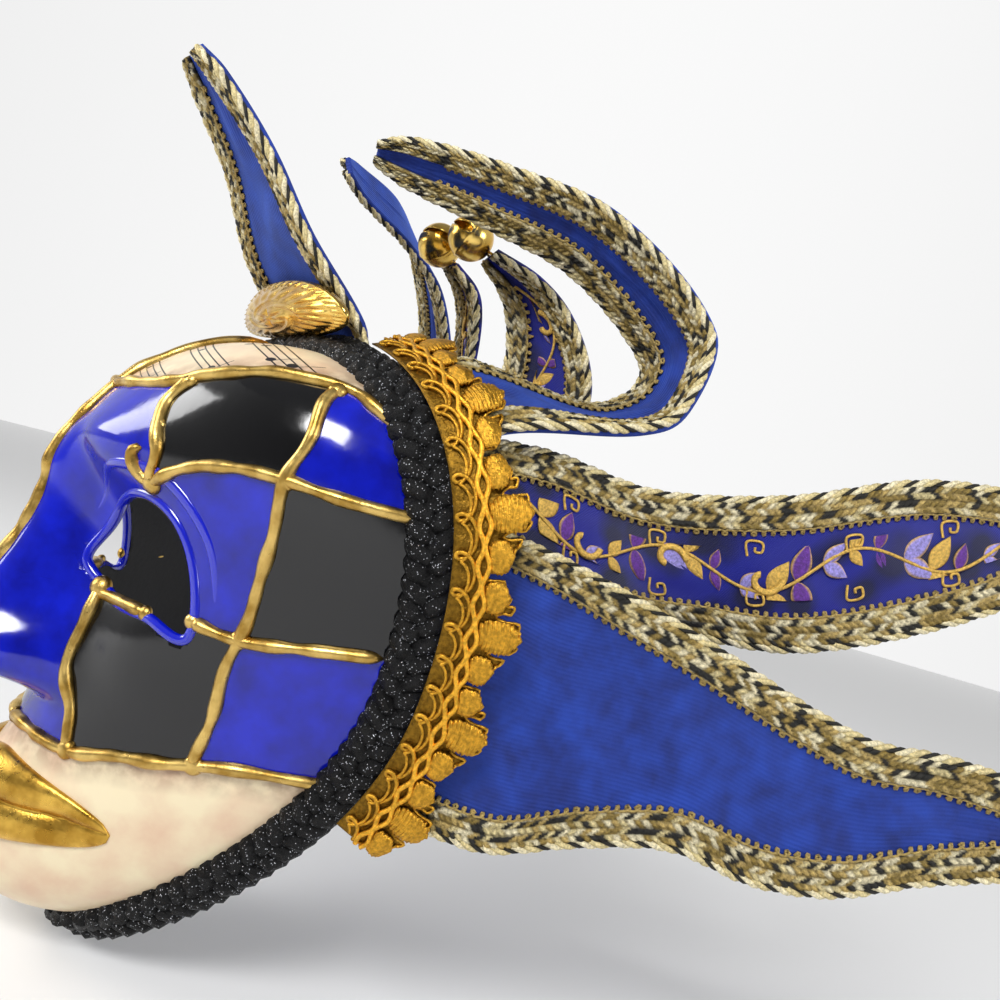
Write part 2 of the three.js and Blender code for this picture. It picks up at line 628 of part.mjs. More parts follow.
// A solid sheet over the point between two heights above its middle surface. The columns run
// along both edges of the point, along the braids' inner edges and, in the cloth, between them.
function overPoint(shape, low, high, withMiddle) {
  const front = [];
  const back = [];
  for (let i = 0; i < STATIONS; i += 1) {
    const along = stationAt(i);
    const inner = shape.cloth(along);
    for (const across of withMiddle ? [-1, -inner, 0, inner, 1] : [-1, -inner, inner, 1]) {
      const [middle, facing] = [shape.surface(along, across), shape.facing(along, across)];
      front.push(step(middle, [facing, high]));
      back.push(step(middle, [facing, low]));
    }
  }
  const columns = withMiddle ? 5 : 4;
  const faces = [];
  for (let i = 0; i < STATIONS - 1; i += 1) {
    for (let j = 0; j < columns - 1; j += 1) {
      const a = i * columns + j;
      if (withMiddle || j !== 1) {
        faces.push([a, a + columns, a + 1], [a + 1, a + columns, a + columns + 1]);
      }
    }
  }
  return weldedSheet(front, back, faces);
}

const panel = (shape) => overPoint(shape, -CLOTH / 2, CLOTH / 2, true);

// Braid: a flat strip along both edges of a point that meets itself at the tip.
function edging(shape) {
  const low = CLOTH / 2 + CLEAR + 0.15;
  return overPoint(shape, low, low + BRAID_THICK, false);
}

// Degrees round the upper rim at a distance across.
function degreesAcross(across) {
  const share = across / acrossAt(1, reachAt(1));
  return Math.acos(Math.sign(share) * Math.abs(share) ** (TOP_ROUND / 2)) * 180 / Math.PI;
}

// Medallion: a pressed oval of sheet with a rolled edge and a lobed dome, open underneath.
function medallion() {
  const rings = [[0, 1], [0.3, 0.93], [0.55, 0.74], [0.78, 0.42], [0.92, 0.14], [1, 0]];
  const spokes = 16;
  const outer = [];
  const inner = [];
  for (const [share, high] of rings) {
    for (let i = 0; i < spokes; i += 1) {
      const turn = 2 * Math.PI * i / spokes;
      const lobe = 1 + 0.10 * share * (1 - share) * 4 * (i % 2 ? 1 : -1);
      const [across, deep] = [share * Math.cos(turn), share * Math.sin(turn)];
      const rise = MEDALLION_RISE * high * lobe;
      outer.push([across * MEDALLION_ACROSS, deep * MEDALLION_DEEP, rise + MEDALLION_SHEET]);
      inner.push([across * (MEDALLION_ACROSS - MEDALLION_SHEET * share),
        deep * (MEDALLION_DEEP - MEDALLION_SHEET * share), rise]);
    }
  }
  const [lean, stand] = [Math.cos(radians(MEDALLION_TILT)), Math.sin(radians(MEDALLION_TILT))];
  const seat = CORD_FRONT + CLEAR + MEDALLION_DEEP * stand;
  const put = ([across, deep, rise]) => offRim(degreesAcross(across),
    deep * lean - rise * stand - CORD_IN / 8, seat + deep * stand + rise * lean);
  const faces = [];
  for (let r = 0; r < rings.length - 1; r += 1) {
    for (let i = 0; i < spokes; i += 1) {
      const [a, b] = [r * spokes + i, r * spokes + (i + 1) % spokes];
      if (r > 0) faces.push([a, a + spokes, b]);
      faces.push([r > 0 ? b : 0, a + spokes, b + spokes]);
    }
  }
  return sheet(outer.map(put), inner.map(put), faces);
}

// Jingle bell: a ball with a slot across its front, beyond its point's tip. The pressed sheet's
// hollow is closed up, because nothing goes into it.
function bell(shape) {
  const tip = shape.surface(1, 0);
  const onward = tip.clone().sub(shape.surface(0.95, 0)).normalize();
  const ball = toSolid(mergeable(new THREE.SphereGeometry(BELL_RADIUS, 12, 8)));
  const reach = 4 * BELL_RADIUS;
  const slot = new THREE.BoxGeometry(reach, BELL_SLOT_DEEP, BELL_SLOT);
  slot.translate(0, BELL_RADIUS - BELL_SLOT_DEEP / 2 + 0.01, 0);
  const cut = fromSolid(ball.subtract(toSolid(mergeable(slot))));
  cut.applyQuaternion(new THREE.Quaternion().setFromUnitVectors(new THREE.Vector3(0, 1, 0), onward));
  const centre = step(tip, [onward, BELL_RADIUS + CLEAR + 0.3]);
  return cut.translate(centre.x, centre.y, centre.z);
}

// Assembly
function finish(color, roughness, metalness) {
  return new THREE.MeshStandardMaterial({ color, roughness, metalness });
}
const ENAMEL = finish('#0a14a8', 0.18, 0);
const GOLD = finish('#b8923c', 0.35, 1);
const BLACK_CORD = finish('#101012', 0.6, 0.1);
const LACE_GOLD = finish('#b88a1c', 0.45, 0.8);
const VELVET = finish('#1538a0', 0.85, 0);
const BROCADE = finish('#141a7c', 0.5, 0);
const GIMP = finish('#a89868', 0.6, 0.3);
const BELL_GOLD = finish('#caa23a', 0.25, 1);

const mask = new THREE.Group();

function add(name, shape, material) {
  const flat = mergeable(shape).toNonIndexed();
  flat.computeVertexNormals();
  const mesh = new THREE.Mesh(flat, material);
  mesh.name = name;
  mask.add(mesh);
}

add('face_shell', faceShell(), ENAMEL);
add('gold_lines', goldLines(), GOLD);
add('gilt_lips', giltLips(), GOLD);
add('rim_cord', rimCord(), BLACK_CORD);
const strip = laceStrip();
add('lace_left', strip, LACE_GOLD);
add('lace_right', mirrored(strip), LACE_GOLD);
add('medallion', medallion(), BELL_GOLD);

for (const [name, spec] of Object.entries(POINTS)) {
  const shape = pointSurface(spec);
  const cloth = spec.layer === 0 ? VELVET : BROCADE;
  const sides = name === 'top_point' ? [''] : ['_left', '_right'];
  for (const side of sides) {
    const turned = (piece) => (side === '_right' ? mirrored(piece) : piece);
    add(`${name}${side}`, turned(panel(shape)), cloth);
    add(`${name}_braid${side}`, turned(edging(shape)), GIMP);
    if (spec.bell) add(`bell${side}`, turned(bell(shape)), BELL_GOLD);
  }
}

export default mask;
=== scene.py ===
"""A carnival jester mask, seen from the wearer's left.

Every piece is an array of points in the row frame, in millimetres: +X the wearer's left, -Y the way
the face looks, +Z up. The rim is an upright oval (a superellipse, the n-th powers of its shares
across and up add up to 1) that bends forward with the square of the height above and below its
centre. The face is a height over the frontal plane: a dome inside the rim, plus one bell-shaped
bump or hollow for each feature and a nose whose section is a bell curve to the power 2.4. A cloth
point is a ruled surface: its centre line and half width follow cubic curves through a table.
"""

import math

import bpy
import numpy as np
from mathutils import Matrix


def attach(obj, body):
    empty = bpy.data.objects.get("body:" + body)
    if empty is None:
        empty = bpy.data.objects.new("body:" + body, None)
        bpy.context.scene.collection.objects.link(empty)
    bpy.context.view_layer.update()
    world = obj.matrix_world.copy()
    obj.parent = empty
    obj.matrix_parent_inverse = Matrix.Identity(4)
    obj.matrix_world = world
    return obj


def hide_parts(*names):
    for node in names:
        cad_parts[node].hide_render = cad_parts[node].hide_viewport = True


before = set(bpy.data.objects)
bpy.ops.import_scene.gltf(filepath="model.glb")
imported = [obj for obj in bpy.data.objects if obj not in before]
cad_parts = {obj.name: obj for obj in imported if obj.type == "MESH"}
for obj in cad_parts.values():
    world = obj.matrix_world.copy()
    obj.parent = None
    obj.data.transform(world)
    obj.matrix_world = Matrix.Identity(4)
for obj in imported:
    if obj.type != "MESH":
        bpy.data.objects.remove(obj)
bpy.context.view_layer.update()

# Shell, in mm and degrees
HALF_WIDTH = 78
HALF_HEIGHT = 90
TOP_REACH = 84
CHIN_REACH = 93
RIM_CENTRE_UP = -4
CROWN_SPREAD = 21
RIM_BACK = 5
TOP_FORWARD = 25
CHIN_FORWARD = 42
DOME = 68
NOSE_RISE = 30
WALL = 2.2
TOP_ROUND = 2.8
LOW_ROUND = 1.85
FLARE_SIDE = 33
FLARE_TOP = 22
EYE_ACROSS, EYE_UP = 31, 12
EYE_WIDTH, EYE_HEIGHT = 36, 33

# Relief and trims, in mm
CLEAR = 0.35
LINE_WIDTH = 3.4
LIP_HALF_WIDTH, LIP_HEIGHT, LIP_UP = 37, 24, -60
CORD_OUT, CORD_IN = 5, 6
CORD_FRONT, CORD_BACK = 6, 4.6
LACE_WIDTH, LACE_REPEAT, LACE_LIFT = 19, 22, 5.0
LACE_FROM, LACE_TO = -22, 72
CLOTH = 1.6
BRAID_WIDTH = 13
LAYER_STEP = 5.2
MEDALLION_ACROSS, MEDALLION_DEEP = 38, 8
MEDALLION_TILT, MEDALLION_RISE = 105, 7
BELL_RADIUS = 8

# Repeats of the trims and prints, in mm
PLAIT_LENGTH, FIBRE_LAY = 15, 1.1
BAR_STEP, TWIST_LENGTH, PICOT_STEP = 1.9, 8.5, 2.6
LEAF_STEP = 7.5
STAVE_STEP, NOTE_STEP = 15.0, 5.5

# Camera and stage, in metres
CAMERA_AT = (0.276, -0.120, 0.047)
CAMERA_RIGHT = (0.532, 0.805, 0.262)
CAMERA_UP = (-0.128, -0.229, 0.965)
CAMERA_BACK = (0.837, -0.547, -0.018)
LENS, SENSOR = 32.2, 36
FLOOR_UP, STAGE_REACH = -0.106, 4
WALL_SIDES = 72

# Centre across and up, reach across and up and rise of each feature, as shares of the half width,
# the half height and the dome: brow, forehead, eye socket, cheek, nostril wing, upper lip, lower
# lip, mouth corner and chin.
FEATURES = [
    (0.28, 0.49, 0.26, 0.10, 0.074), (0.00, 0.55, 0.32, 0.20, 0.10),
    (0.346, 0.20, 0.19, 0.144, -0.132), (0.54, -0.11, 0.205, 0.178, 0.044),
    (0.14, -0.19, 0.077, 0.078, 0.103), (0.00, -0.578, 0.244, 0.061, 0.081),
    (0.00, -0.689, 0.192, 0.067, 0.088), (0.346, -0.633, 0.064, 0.056, -0.044),
    (0.00, -0.889, 0.205, 0.10, 0.103),
]
EYE_OUTLINE = [
    (-0.5, -0.16), (-0.40, 0.28), (-0.10, 0.48), (0.22, 0.46), (0.42, 0.18),
    (0.50, -0.46), (0.20, -0.42), (-0.20, -0.40),
]
# Gold lines: shares of the half width at that height and of the half height.
LINES = {
    "brow": [(0, 0.656), (0.27, 0.689), (0.406, 0.744), (0.518, 0.789), (0.59, 0.80),
             (0.654, 0.80), (0.723, 0.767), (0.78, 0.73)],
    "temple": [(0.428, 0.40), (0.545, 0.478), (0.61, 0.50), (0.676, 0.511), (0.744, 0.511),
               (0.847, 0.50), (0.94, 0.50)],
    "lid_outer": [(0.619, 0.056), (0.734, 0.044), (0.844, 0.067), (0.97, 0.10)],
    "lid_lower": [(0.216, 0.033), (0.343, 0.033), (0.47, 0.033)],
    "cheek": [(0, -0.425), (0.143, -0.42), (0.29, -0.425), (0.406, -0.422), (0.53, -0.389),
              (0.64, -0.367), (0.72, -0.344), (0.815, -0.322), (0.94, -0.311)],
    "side": [(0.72, -0.344), (0.736, -0.156), (0.734, 0.044), (0.752, 0.278), (0.744, 0.511),
             (0.732, 0.644), (0.654, 0.80)],
    "lid_upper": [(0.428, 0.40), (0.442, 0.489), (0.40, 0.567), (0.361, 0.644), (0.366, 0.728)],
    "tear": [(0.23, 0.055), (0.244, 0.011), (0.263, -0.089), (0.28, -0.167), (0.32, -0.289),
             (0.377, -0.422)],
}
CENTRE_LINE = [(0, 0.93), (0, 0.78), (0, 0.66), (0, 0.52), (0, 0.36), (0, 0.18), (0, -0.02),
               (0, -0.20)]
# Where lines meet or end in a ball of paste: share across, share up, radius in mm.
BLOBS = [(0.235, 0.05, 3.2), (0.43, 0.40, 3.0), (0.366, 0.715, 2.4), (0.654, 0.79, 2.6),
         (0.744, 0.511, 2.8), (0.734, 0.044, 2.6), (0.72, -0.344, 2.8), (0.377, -0.422, 2.8),
         (0.40, 0.567, 2.2), (0.47, 0.033, 2.1), (0.619, 0.056, 2.1), (0.0, 0.66, 2.6),
         (0.0, -0.20, 2.2), (0.0, -0.425, 2.4)]

# Cloth points: ends of the sewn edge in degrees round the rim, row, seat, length and half width of
# the root in mm, then for each section the share of the length, the centre's move across, up and
# forward in lengths, and the half width across, up and forward in half widths of the root.
POINTS = {
    "top_point": ((106, 74), 0, 0.2, 84, 36, [
        (0.12, (0, 0.12, 0.035), (0.97, 0, 0)), (0.38, (0, 0.35, 0.26), (0.80, 0, 0)),
        (0.68, (0, 0.60, 0.44), (0.56, 0, 0)), (0.90, (0, 0.79, 0.63), (0.37, 0, 0)),
        (1.00, (0, 0.86, 0.71), (0.19, 0, 0))]),
    "curled_point": ((66, 36), 0, 0, 215, 22, [
        (0.10, (-0.005, 0.052, -0.084), (0.85, -0.42, 0)),
        (0.28, (0.040, 0.074, -0.264), (0.90, -0.16, 0.18)),
        (0.38, (0.057, 0.119, -0.324), (0.75, -0.13, 0.17)),
        (0.47, (0.048, 0.202, -0.334), (0.66, 0.16, 0.02)),
        (0.65, (-0.050, 0.314, -0.227), (0.48, 0.33, 0.11)),
        (0.82, (-0.152, 0.352, -0.110), (0.24, 0.36, 0.10)),
        (0.95, (-0.220, 0.365, 0.006), (0.16, 0.26, 0.07)),
        (1.00, (-0.250, 0.369, 0.043), (0.07, 0.12, 0.03))]),
    "bell_point": ((88, 67), 1, 0, 125, 21, [
        (0.25, (-0.012, 0.014, -0.222), (0.98, -0.06, -0.04)),
        (0.48, (0.018, 0.054, -0.447), (0.90, -0.09, -0.22)),
        (0.57, (0.013, 0.114, -0.517), (0.86, -0.08, -0.27)),
        (0.67, (-0.002, 0.214, -0.517), (0.77, -0.03, -0.25)),
        (0.79, (-0.042, 0.329, -0.477), (0.62, 0.02, -0.17)),
        (0.90, (-0.082, 0.399, -0.417), (0.45, 0.06, -0.06)),
        (1.00, (-0.117, 0.444, -0.327), (0.20, 0.05, 0.02))]),
    "side_point": ((46, 22), 1, 0, 192, 18, [
        (0.16, (0.032, -0.010, -0.157), (0.16, -1.00, -0.20)),
        (0.31, (0.080, -0.025, -0.297), (0.15, -1.04, -0.22)),
        (0.40, (0.127, -0.015, -0.374), (0.15, -1.04, -0.25)),
        (0.55, (0.214, 0.013, -0.479), (0.16, -1.12, -0.26)),
        (0.72, (0.304, 0.085, -0.623), (0.15, -1.08, -0.28)),
        (0.88, (0.378, 0.140, -0.749), (0.12, -0.71, -0.19)),
        (1.00, (0.420, 0.180, -0.839), (0.03, -0.18, -0.05))]),
    "cheek_point": ((26, -18), 0, 0.75, 192, 39, [
        (0.17, (0.070, -0.023, -0.150), (-0.04, -1.00, 0)),
        (0.28, (0.149, -0.014, -0.240), (-0.02, -0.82, 0.01)),
        (0.40, (0.228, -0.013, -0.324), (-0.01, -0.65, 0.01)),
        (0.52, (0.288, -0.040, -0.423), (-0.01, -0.60, 0)),
        (0.62, (0.345, -0.047, -0.512), (-0.01, -0.51, 0)),
        (0.73, (0.402, -0.022, -0.595), (-0.01, -0.42, -0.03)),
        (0.88, (0.480, 0, -0.720), (0, -0.27, -0.02)),
        (1.00, (0.543, 0.042, -0.824), (0, -0.10, -0.01))]),
}


# Small helpers
def place(across, up, forward):
    across, up, forward = np.broadcast_arrays(*(np.asarray(v, float) for v in (across, up, forward)))
    return np.stack([across, -forward, up], axis=-1)


def unit(vectors):
    return vectors / np.maximum(np.linalg.norm(vectors, axis=-1, keepdims=True), 1e-9)


def smooth(t):
    t = np.clip(t, 0, 1)
    return t * t * (3 - 2 * t)


def chance(a, b=0.0):
    """A repeatable number from 0 to 1 for each pair of numbers: the fraction of a large sine."""
    return np.abs(np.sin(np.asarray(a) * 12.9898 + np.asarray(b) * 78.233) * 43758.5453) % 1


def cubic(ats, values, at):
    """Cubic curve through the table's values, whose slopes are those of the neighbours' chord."""
    ats, values, at = np.asarray(ats, float), np.asarray(values, float), np.asarray(at, float)
    i = np.clip(np.searchsorted(ats, at, side="left") - 1, 0, len(ats) - 2)
    k = np.arange(len(ats))
    low, high = np.maximum(k - 1, 0), np.minimum(k + 1, len(ats) - 1)
    slope = (values[high] - values[low]) / (ats[high] - ats[low])[:, None]
    span = (ats[i + 1] - ats[i])[..., None]
    t = (at - ats[i])[..., None] / span
    total = values[i] * (2 * t ** 3 - 3 * t ** 2 + 1) + values[i + 1] * (3 * t ** 2 - 2 * t ** 3)
    return total + slope[i] * (t ** 3 - 2 * t ** 2 + t) * span + slope[i + 1] * (t ** 3 - t ** 2) * span


def evenly(points, count, closed=False):
    """Smooth curve through the points, at a number of places the same distance apart."""
    points = np.asarray(points, float)
    if closed:
        points = np.concatenate([points, points[:1]])
    at = np.arange(len(points), dtype=float)
    if closed:
        fine = cubic(np.arange(-2.0, len(points) + 2),
                     np.concatenate([points[-3:-1], points, points[1:3]]),
                     np.linspace(0, at[-1], 2000))
    else:
        fine = cubic(at, points, np.linspace(0, at[-1], 2000))
    run = np.concatenate([[0], np.cumsum(np.linalg.norm(np.diff(fine, axis=0), axis=1))])
    where = np.linspace(0, run[-1], count + 1 if closed else count)
    out = np.stack([np.interp(where, run, fine[:, k]) for k in range(fine.shape[1])], axis=-1)
    return out[:-1] if closed else out


# Rim and face
def super_shares(share, degrees):
    c, s = np.cos(np.radians(degrees)), np.sin(np.radians(degrees))
    power = 2 / np.where(s > 0, TOP_ROUND, LOW_ROUND)
    reach = np.where(s > 0, TOP_REACH, CHIN_REACH) / HALF_HEIGHT
    return (share * np.sign(c) * np.abs(c) ** power,
            share * np.sign(s) * np.abs(s) ** power * reach)


def across_at(side, rise):
    return (HALF_WIDTH + CROWN_SPREAD * np.asarray(rise)) * side


def up_at(rise):
    return RIM_CENTRE_UP + HALF_HEIGHT * np.asarray(rise)


def rim_forward(rise):
    return RIM_BACK + TOP_FORWARD * np.maximum(rise, 0) ** 2 + CHIN_FORWARD * np.maximum(-rise, 0) ** 2


def rim_point(degrees):
    side, rise = super_shares(1, np.asarray(degrees, float))
    return place(across_at(side, rise), up_at(rise), rim_forward(rise))


def face_forward(across, up):
    rise = (up - RIM_CENTRE_UP) / HALF_HEIGHT
    side = across / (HALF_WIDTH + CROWN_SPREAD * rise)
    power = np.where(rise > 0, TOP_ROUND, LOW_ROUND)
    steep = np.abs(rise) * HALF_HEIGHT / np.where(rise > 0, TOP_REACH, CHIN_REACH)
    share = np.minimum(1, (np.abs(side) ** power + steep ** power) ** (1 / power))
    upright = np.clip(steep / np.maximum(share, 1e-6), 0, 1) ** 2
    across_dome = (1 - share ** 2) ** 0.8
    upright_dome = np.sqrt(1 - share ** 3)
    relief = 0
    for a, u, wide, tall, height in FEATURES:
        x = (np.abs(across) - a * HALF_WIDTH) / (wide * HALF_WIDTH)
        relief = relief + DOME * height * np.exp(-x * x - ((rise - u) / tall) ** 2)
    down = np.clip((0.467 - rise) / 0.667, 0, 1)
    bridge = smooth((0.578 - rise) / 0.222) * smooth((rise + 0.333) / 0.10)
    nose_half = HALF_WIDTH * (0.096 + 0.09 * down)
    relief = relief + NOSE_RISE * (0.27 + 0.73 * down ** 1.3) * bridge \
        * np.exp(-((np.abs(across) / nose_half) ** 2.4))
    dome = DOME * (across_dome + (upright_dome - across_dome) * upright)
    return rim_forward(rise) + dome + relief * smooth((1 - share) / 0.25)


def face_point(across, up):
    return place(across, up, face_forward(across, up))


def face_normal(across, up, d=0.05):
    slope_across = (face_forward(across + d, up) - face_forward(across - d, up)) / (2 * d)
    slope_up = (face_forward(across, up + d) - face_forward(across, up - d)) / (2 * d)
    return unit(place(-slope_across, -slope_up, np.ones_like(slope_up)))


def rim_frame(degrees):
    """Point of the rim and its directions: along it, off its edge, and out from the shell's face."""
    degrees = np.asarray(degrees, float)
    point = rim_point(degrees)
    along = unit(rim_point(degrees + 0.1) - rim_point(degrees - 0.1))
    outward = unit(np.stack([along[..., 2], 0 * along[..., 0], -along[..., 0]], axis=-1))
    flare = np.radians(FLARE_TOP + (FLARE_SIDE - FLARE_TOP) * np.cos(np.radians(degrees)) ** 2)
    back = np.stack([0 * flare, np.cos(flare), 0 * flare], axis=-1)
    off = outward * np.sin(flare)[..., None] + back
    off = unit(off - along * (off * along).sum(-1, keepdims=True))
    out = unit(np.cross(along, off))
    out = out * np.where((out * outward).sum(-1, keepdims=True) < 0, -1, 1)
    return point, along, off, out


def off_rim(degrees, off_by, out_by):
    point, _, off, out = rim_frame(degrees)
    return point + off * np.asarray(off_by, float)[..., None] + out * np.asarray(out_by, float)[..., None]


def rim_degrees(start, end, count):
    """Degrees round the rim at places the same distance apart."""
    fine = np.linspace(start, end, 4000)
    run = np.concatenate([[0], np.cumsum(np.linalg.norm(np.diff(rim_point(fine), axis=0), axis=1))])
    return np.interp(np.linspace(0, run[-1], count), run, fine), run[-1]


# Closed surfaces as triangles
def grid_faces(rows, cols, wrap_rows=False, wrap_cols=False):
    i = np.arange(rows if wrap_rows else rows - 1)[:, None]
    j = np.arange(cols if wrap_cols else cols - 1)[None, :]
    a = i * cols + j
    b = i * cols + (j + 1) % cols
    c = ((i + 1) % rows) * cols + j
    d = ((i + 1) % rows) * cols + (j + 1) % cols
    return np.concatenate([np.stack([a, c, b], -1).reshape(-1, 3), np.stack([b, c, d], -1).reshape(-1, 3)])


def turned_out(part):
    """The part with its faces turned round where the volume they enclose comes out negative."""
    a, b, c = (part["points"][part["faces"][:, k]] for k in range(3))
    if (a * np.cross(b, c)).sum() < 0:
        part["faces"] = part["faces"][:, ::-1]
    return part


def solid(rings, closed=False, **values):
    """Closed solid from rings of points: wrapped round, and either capped or joined to itself."""
    rows, cols = rings.shape[:2]
    points = rings.reshape(-1, 3)
    faces = grid_faces(rows, cols, wrap_rows=closed, wrap_cols=True)
    flat = {k: np.asarray(v, float).reshape(rows * cols, -1) for k, v in values.items()}
    if not closed:
        j = np.arange(cols)
        first, last = rows * cols, rows * cols + 1
        caps = [np.stack([np.full(cols, first), j, (j + 1) % cols], -1),
                np.stack([np.full(cols, last), (rows - 1) * cols + (j + 1) % cols,
                          (rows - 1) * cols + j], -1)]
        faces = np.concatenate([faces, *caps])
        points = np.concatenate([points, [rings[0].mean(0)], [rings[-1].mean(0)]])
        flat = {k: np.concatenate([v, v[:1], v[-1:]]) for k, v in flat.items()}
    return turned_out({"points": points, "faces": faces, **flat})


def thick(front, back, faces, **values):
    """Closed sheet: the faces on the front, the same on the back and a wall along each free edge."""
    size = len(front)
    edges = np.concatenate([faces[:, [0, 1]], faces[:, [1, 2]], faces[:, [2, 0]]])
    key = edges[:, 0] * size + edges[:, 1]
    free = edges[~np.isin(edges[:, 1] * size + edges[:, 0], key)]
    a, b = free[:, 0], free[:, 1]
    walls = np.concatenate([np.stack([b, a, a + size], -1), np.stack([b, a + size, b + size], -1)])
    flat = {k: np.concatenate([np.asarray(v, float).reshape(size, -1)] * 2) for k, v in values.items()}
    return turned_out({"points": np.concatenate([front, back]),
                       "faces": np.concatenate([faces, faces[:, ::-1] + size, walls]), **flat})


def tube(path, up, wide, high=None, sides=8, closed=False, **values):
    """Tube round a path. Its section is an ellipse, wide along the surface and high off it."""
    high = wide if high is None else high
    tangent = unit(np.roll(path, -1, 0) - np.roll(path, 1, 0) if closed else np.gradient(path, axis=0))
    sideways = unit(np.cross(tangent, up))
    normal = np.cross(sideways, tangent)
    turn = np.linspace(-np.pi / 2, 1.5 * np.pi, sides, endpoint=False)[None, :, None]
    wide = np.broadcast_to(wide, len(path))[:, None, None]
    high = np.broadcast_to(high, len(path))[:, None, None]
    rings = path[:, None] + sideways[:, None] * np.cos(turn) * wide + normal[:, None] * np.sin(turn) * high
    spread = {k: np.repeat(np.asarray(v, float).reshape(len(path), 1, -1), sides, 1)
              for k, v in values.items()}
    if "lay" in spread:
        spread["lay"] = spread["lay"] + turn
    return solid(rings, closed, **spread)


def merged(parts):
    shift = np.cumsum([0] + [len(p["points"]) for p in parts[:-1]])
    out = {k: np.concatenate([p[k] for p in parts]) for k in parts[0] if k != "faces"}
    out["faces"] = np.concatenate([p["faces"] + s for p, s in zip(parts, shift)])
    return out


def mirrored(part):
    return {**part, "points": part["points"] * (-1, 1, 1), "faces": part["faces"][:, ::-1]}


def piece(name, parts, material, nodes=()):
    """Blender object from one part or a list of them, with its attributes, riding on the root."""
    part = merged(parts) if isinstance(parts, list) else parts
    _, first, same = np.unique(np.round(part["points"], 4), axis=0, return_index=True, return_inverse=True)
    faces = same.reshape(-1)[part["faces"]]
    distinct = (faces[:, 0] != faces[:, 1]) & (faces[:, 1] != faces[:, 2]) & (faces[:, 2] != faces[:, 0])
    faces = faces[distinct]
    mesh = bpy.data.meshes.new(name)
    mesh.vertices.add(len(first))
    mesh.vertices.foreach_set("co", (part["points"][first] / 1000).ravel())
    mesh.loops.add(3 * len(faces))
    mesh.loops.foreach_set("vertex_index", faces.ravel().astype(np.int32))
    mesh.polygons.add(len(faces))
    mesh.polygons.foreach_set("loop_start", np.arange(0, 3 * len(faces), 3, dtype=np.int32))
    mesh.polygons.foreach_set("use_smooth", np.ones(len(faces), bool))
    mesh.update(calc_edges=True)
    for key, values in part.items():
        if key not in ("points", "faces"):
            data = mesh.attributes.new(key, "FLOAT_VECTOR", "POINT")
            full = np.zeros((len(first), 3))
            full[:, :values.shape[1]] = values[first]
            data.data.foreach_set("vector", full.ravel())
    mesh.materials.append(material)
    obj = bpy.data.objects.new(name, mesh)
    bpy.context.scene.collection.objects.link(obj)
    if nodes:
        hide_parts(*nodes)
    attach(obj, "root")
    return obj


# Materials
def colour(code):
    """Linear colour from an sRGB code such as #c8a046."""
    shares = np.array([int(code[k:k + 2], 16) for k in (1, 3, 5)]) / 255
    linear = np.where(shares <= 0.04045, shares / 12.92, ((shares + 0.055) / 1.055) ** 2.4)
    return (*(float(v) for v in linear), 1.0)


def node(tree, kind, inputs=(), **settings):
    """New shader node. inputs maps a socket's name or number to a value, a node or (node, output)."""
    new = tree.nodes.new("ShaderNode" + kind)
    for name, value in settings.items():
        setattr(new, name, value)
    for key, value in (inputs.items() if isinstance(inputs, dict) else enumerate(inputs)):
        if isinstance(value, bpy.types.Node):
            tree.links.new(value.outputs[0], new.inputs[key])
        elif isinstance(value, tuple) and isinstance(value[0], bpy.types.Node):
            tree.links.new(value[0].outputs[value[1]], new.inputs[key])
        else:
            new.inputs[key].default_value = value
    return new


def material(name):
    made = bpy.data.materials.new(name)
    made.use_nodes = True
    made.node_tree.nodes.clear()
    return made, made.node_tree


def shade(tree, settings, height=None, depth=0.3):
    """Ends a material: the surface, and its relief from a height in shares of depth, in mm."""
    if height is not None:
        relief = {"Height": height, "Distance": depth / 1000, "Strength": 1.0}
        settings["Normal"] = node(tree, "Bump", relief)
    surface = node(tree, "BsdfPrincipled", settings)
    node(tree, "OutputMaterial", {"Surface": surface})


def grain(tree, size, detail=3.0):
    """Uneven colour or surface that follows the real place on the object, with a size in mm."""
    where = node(tree, "TexCoord"), "Object"
    return node(tree, "TexNoise", {"Vector": where, "Scale": 1000 / size, "Detail": detail})


def metal(name, bright, dark, rough, patina, depth=0.08):
    """Metal or metallic paste: two tones by a soft noise, and fine unevenness."""
    made, tree = material(name)
    tone = node(tree, "MapRange", {"Value": grain(tree, patina), 1: 0.35, 2: 0.65})
    both = node(tree, "Mix", {0: tone, 6: colour(dark), 7: colour(bright)}, data_type="RGBA")
    fine = grain(tree, 0.6, 5.0)
    roughness = node(tree, "MapRange",
                     {"Value": grain(tree, 2.2), 1: 0.3, 2: 0.7, 3: rough * 0.8, 4: rough * 1.3})
    shade(tree, {"Base Color": (both, 2), "Metallic": 1.0, "Roughness": roughness}, fine, depth)
    return made


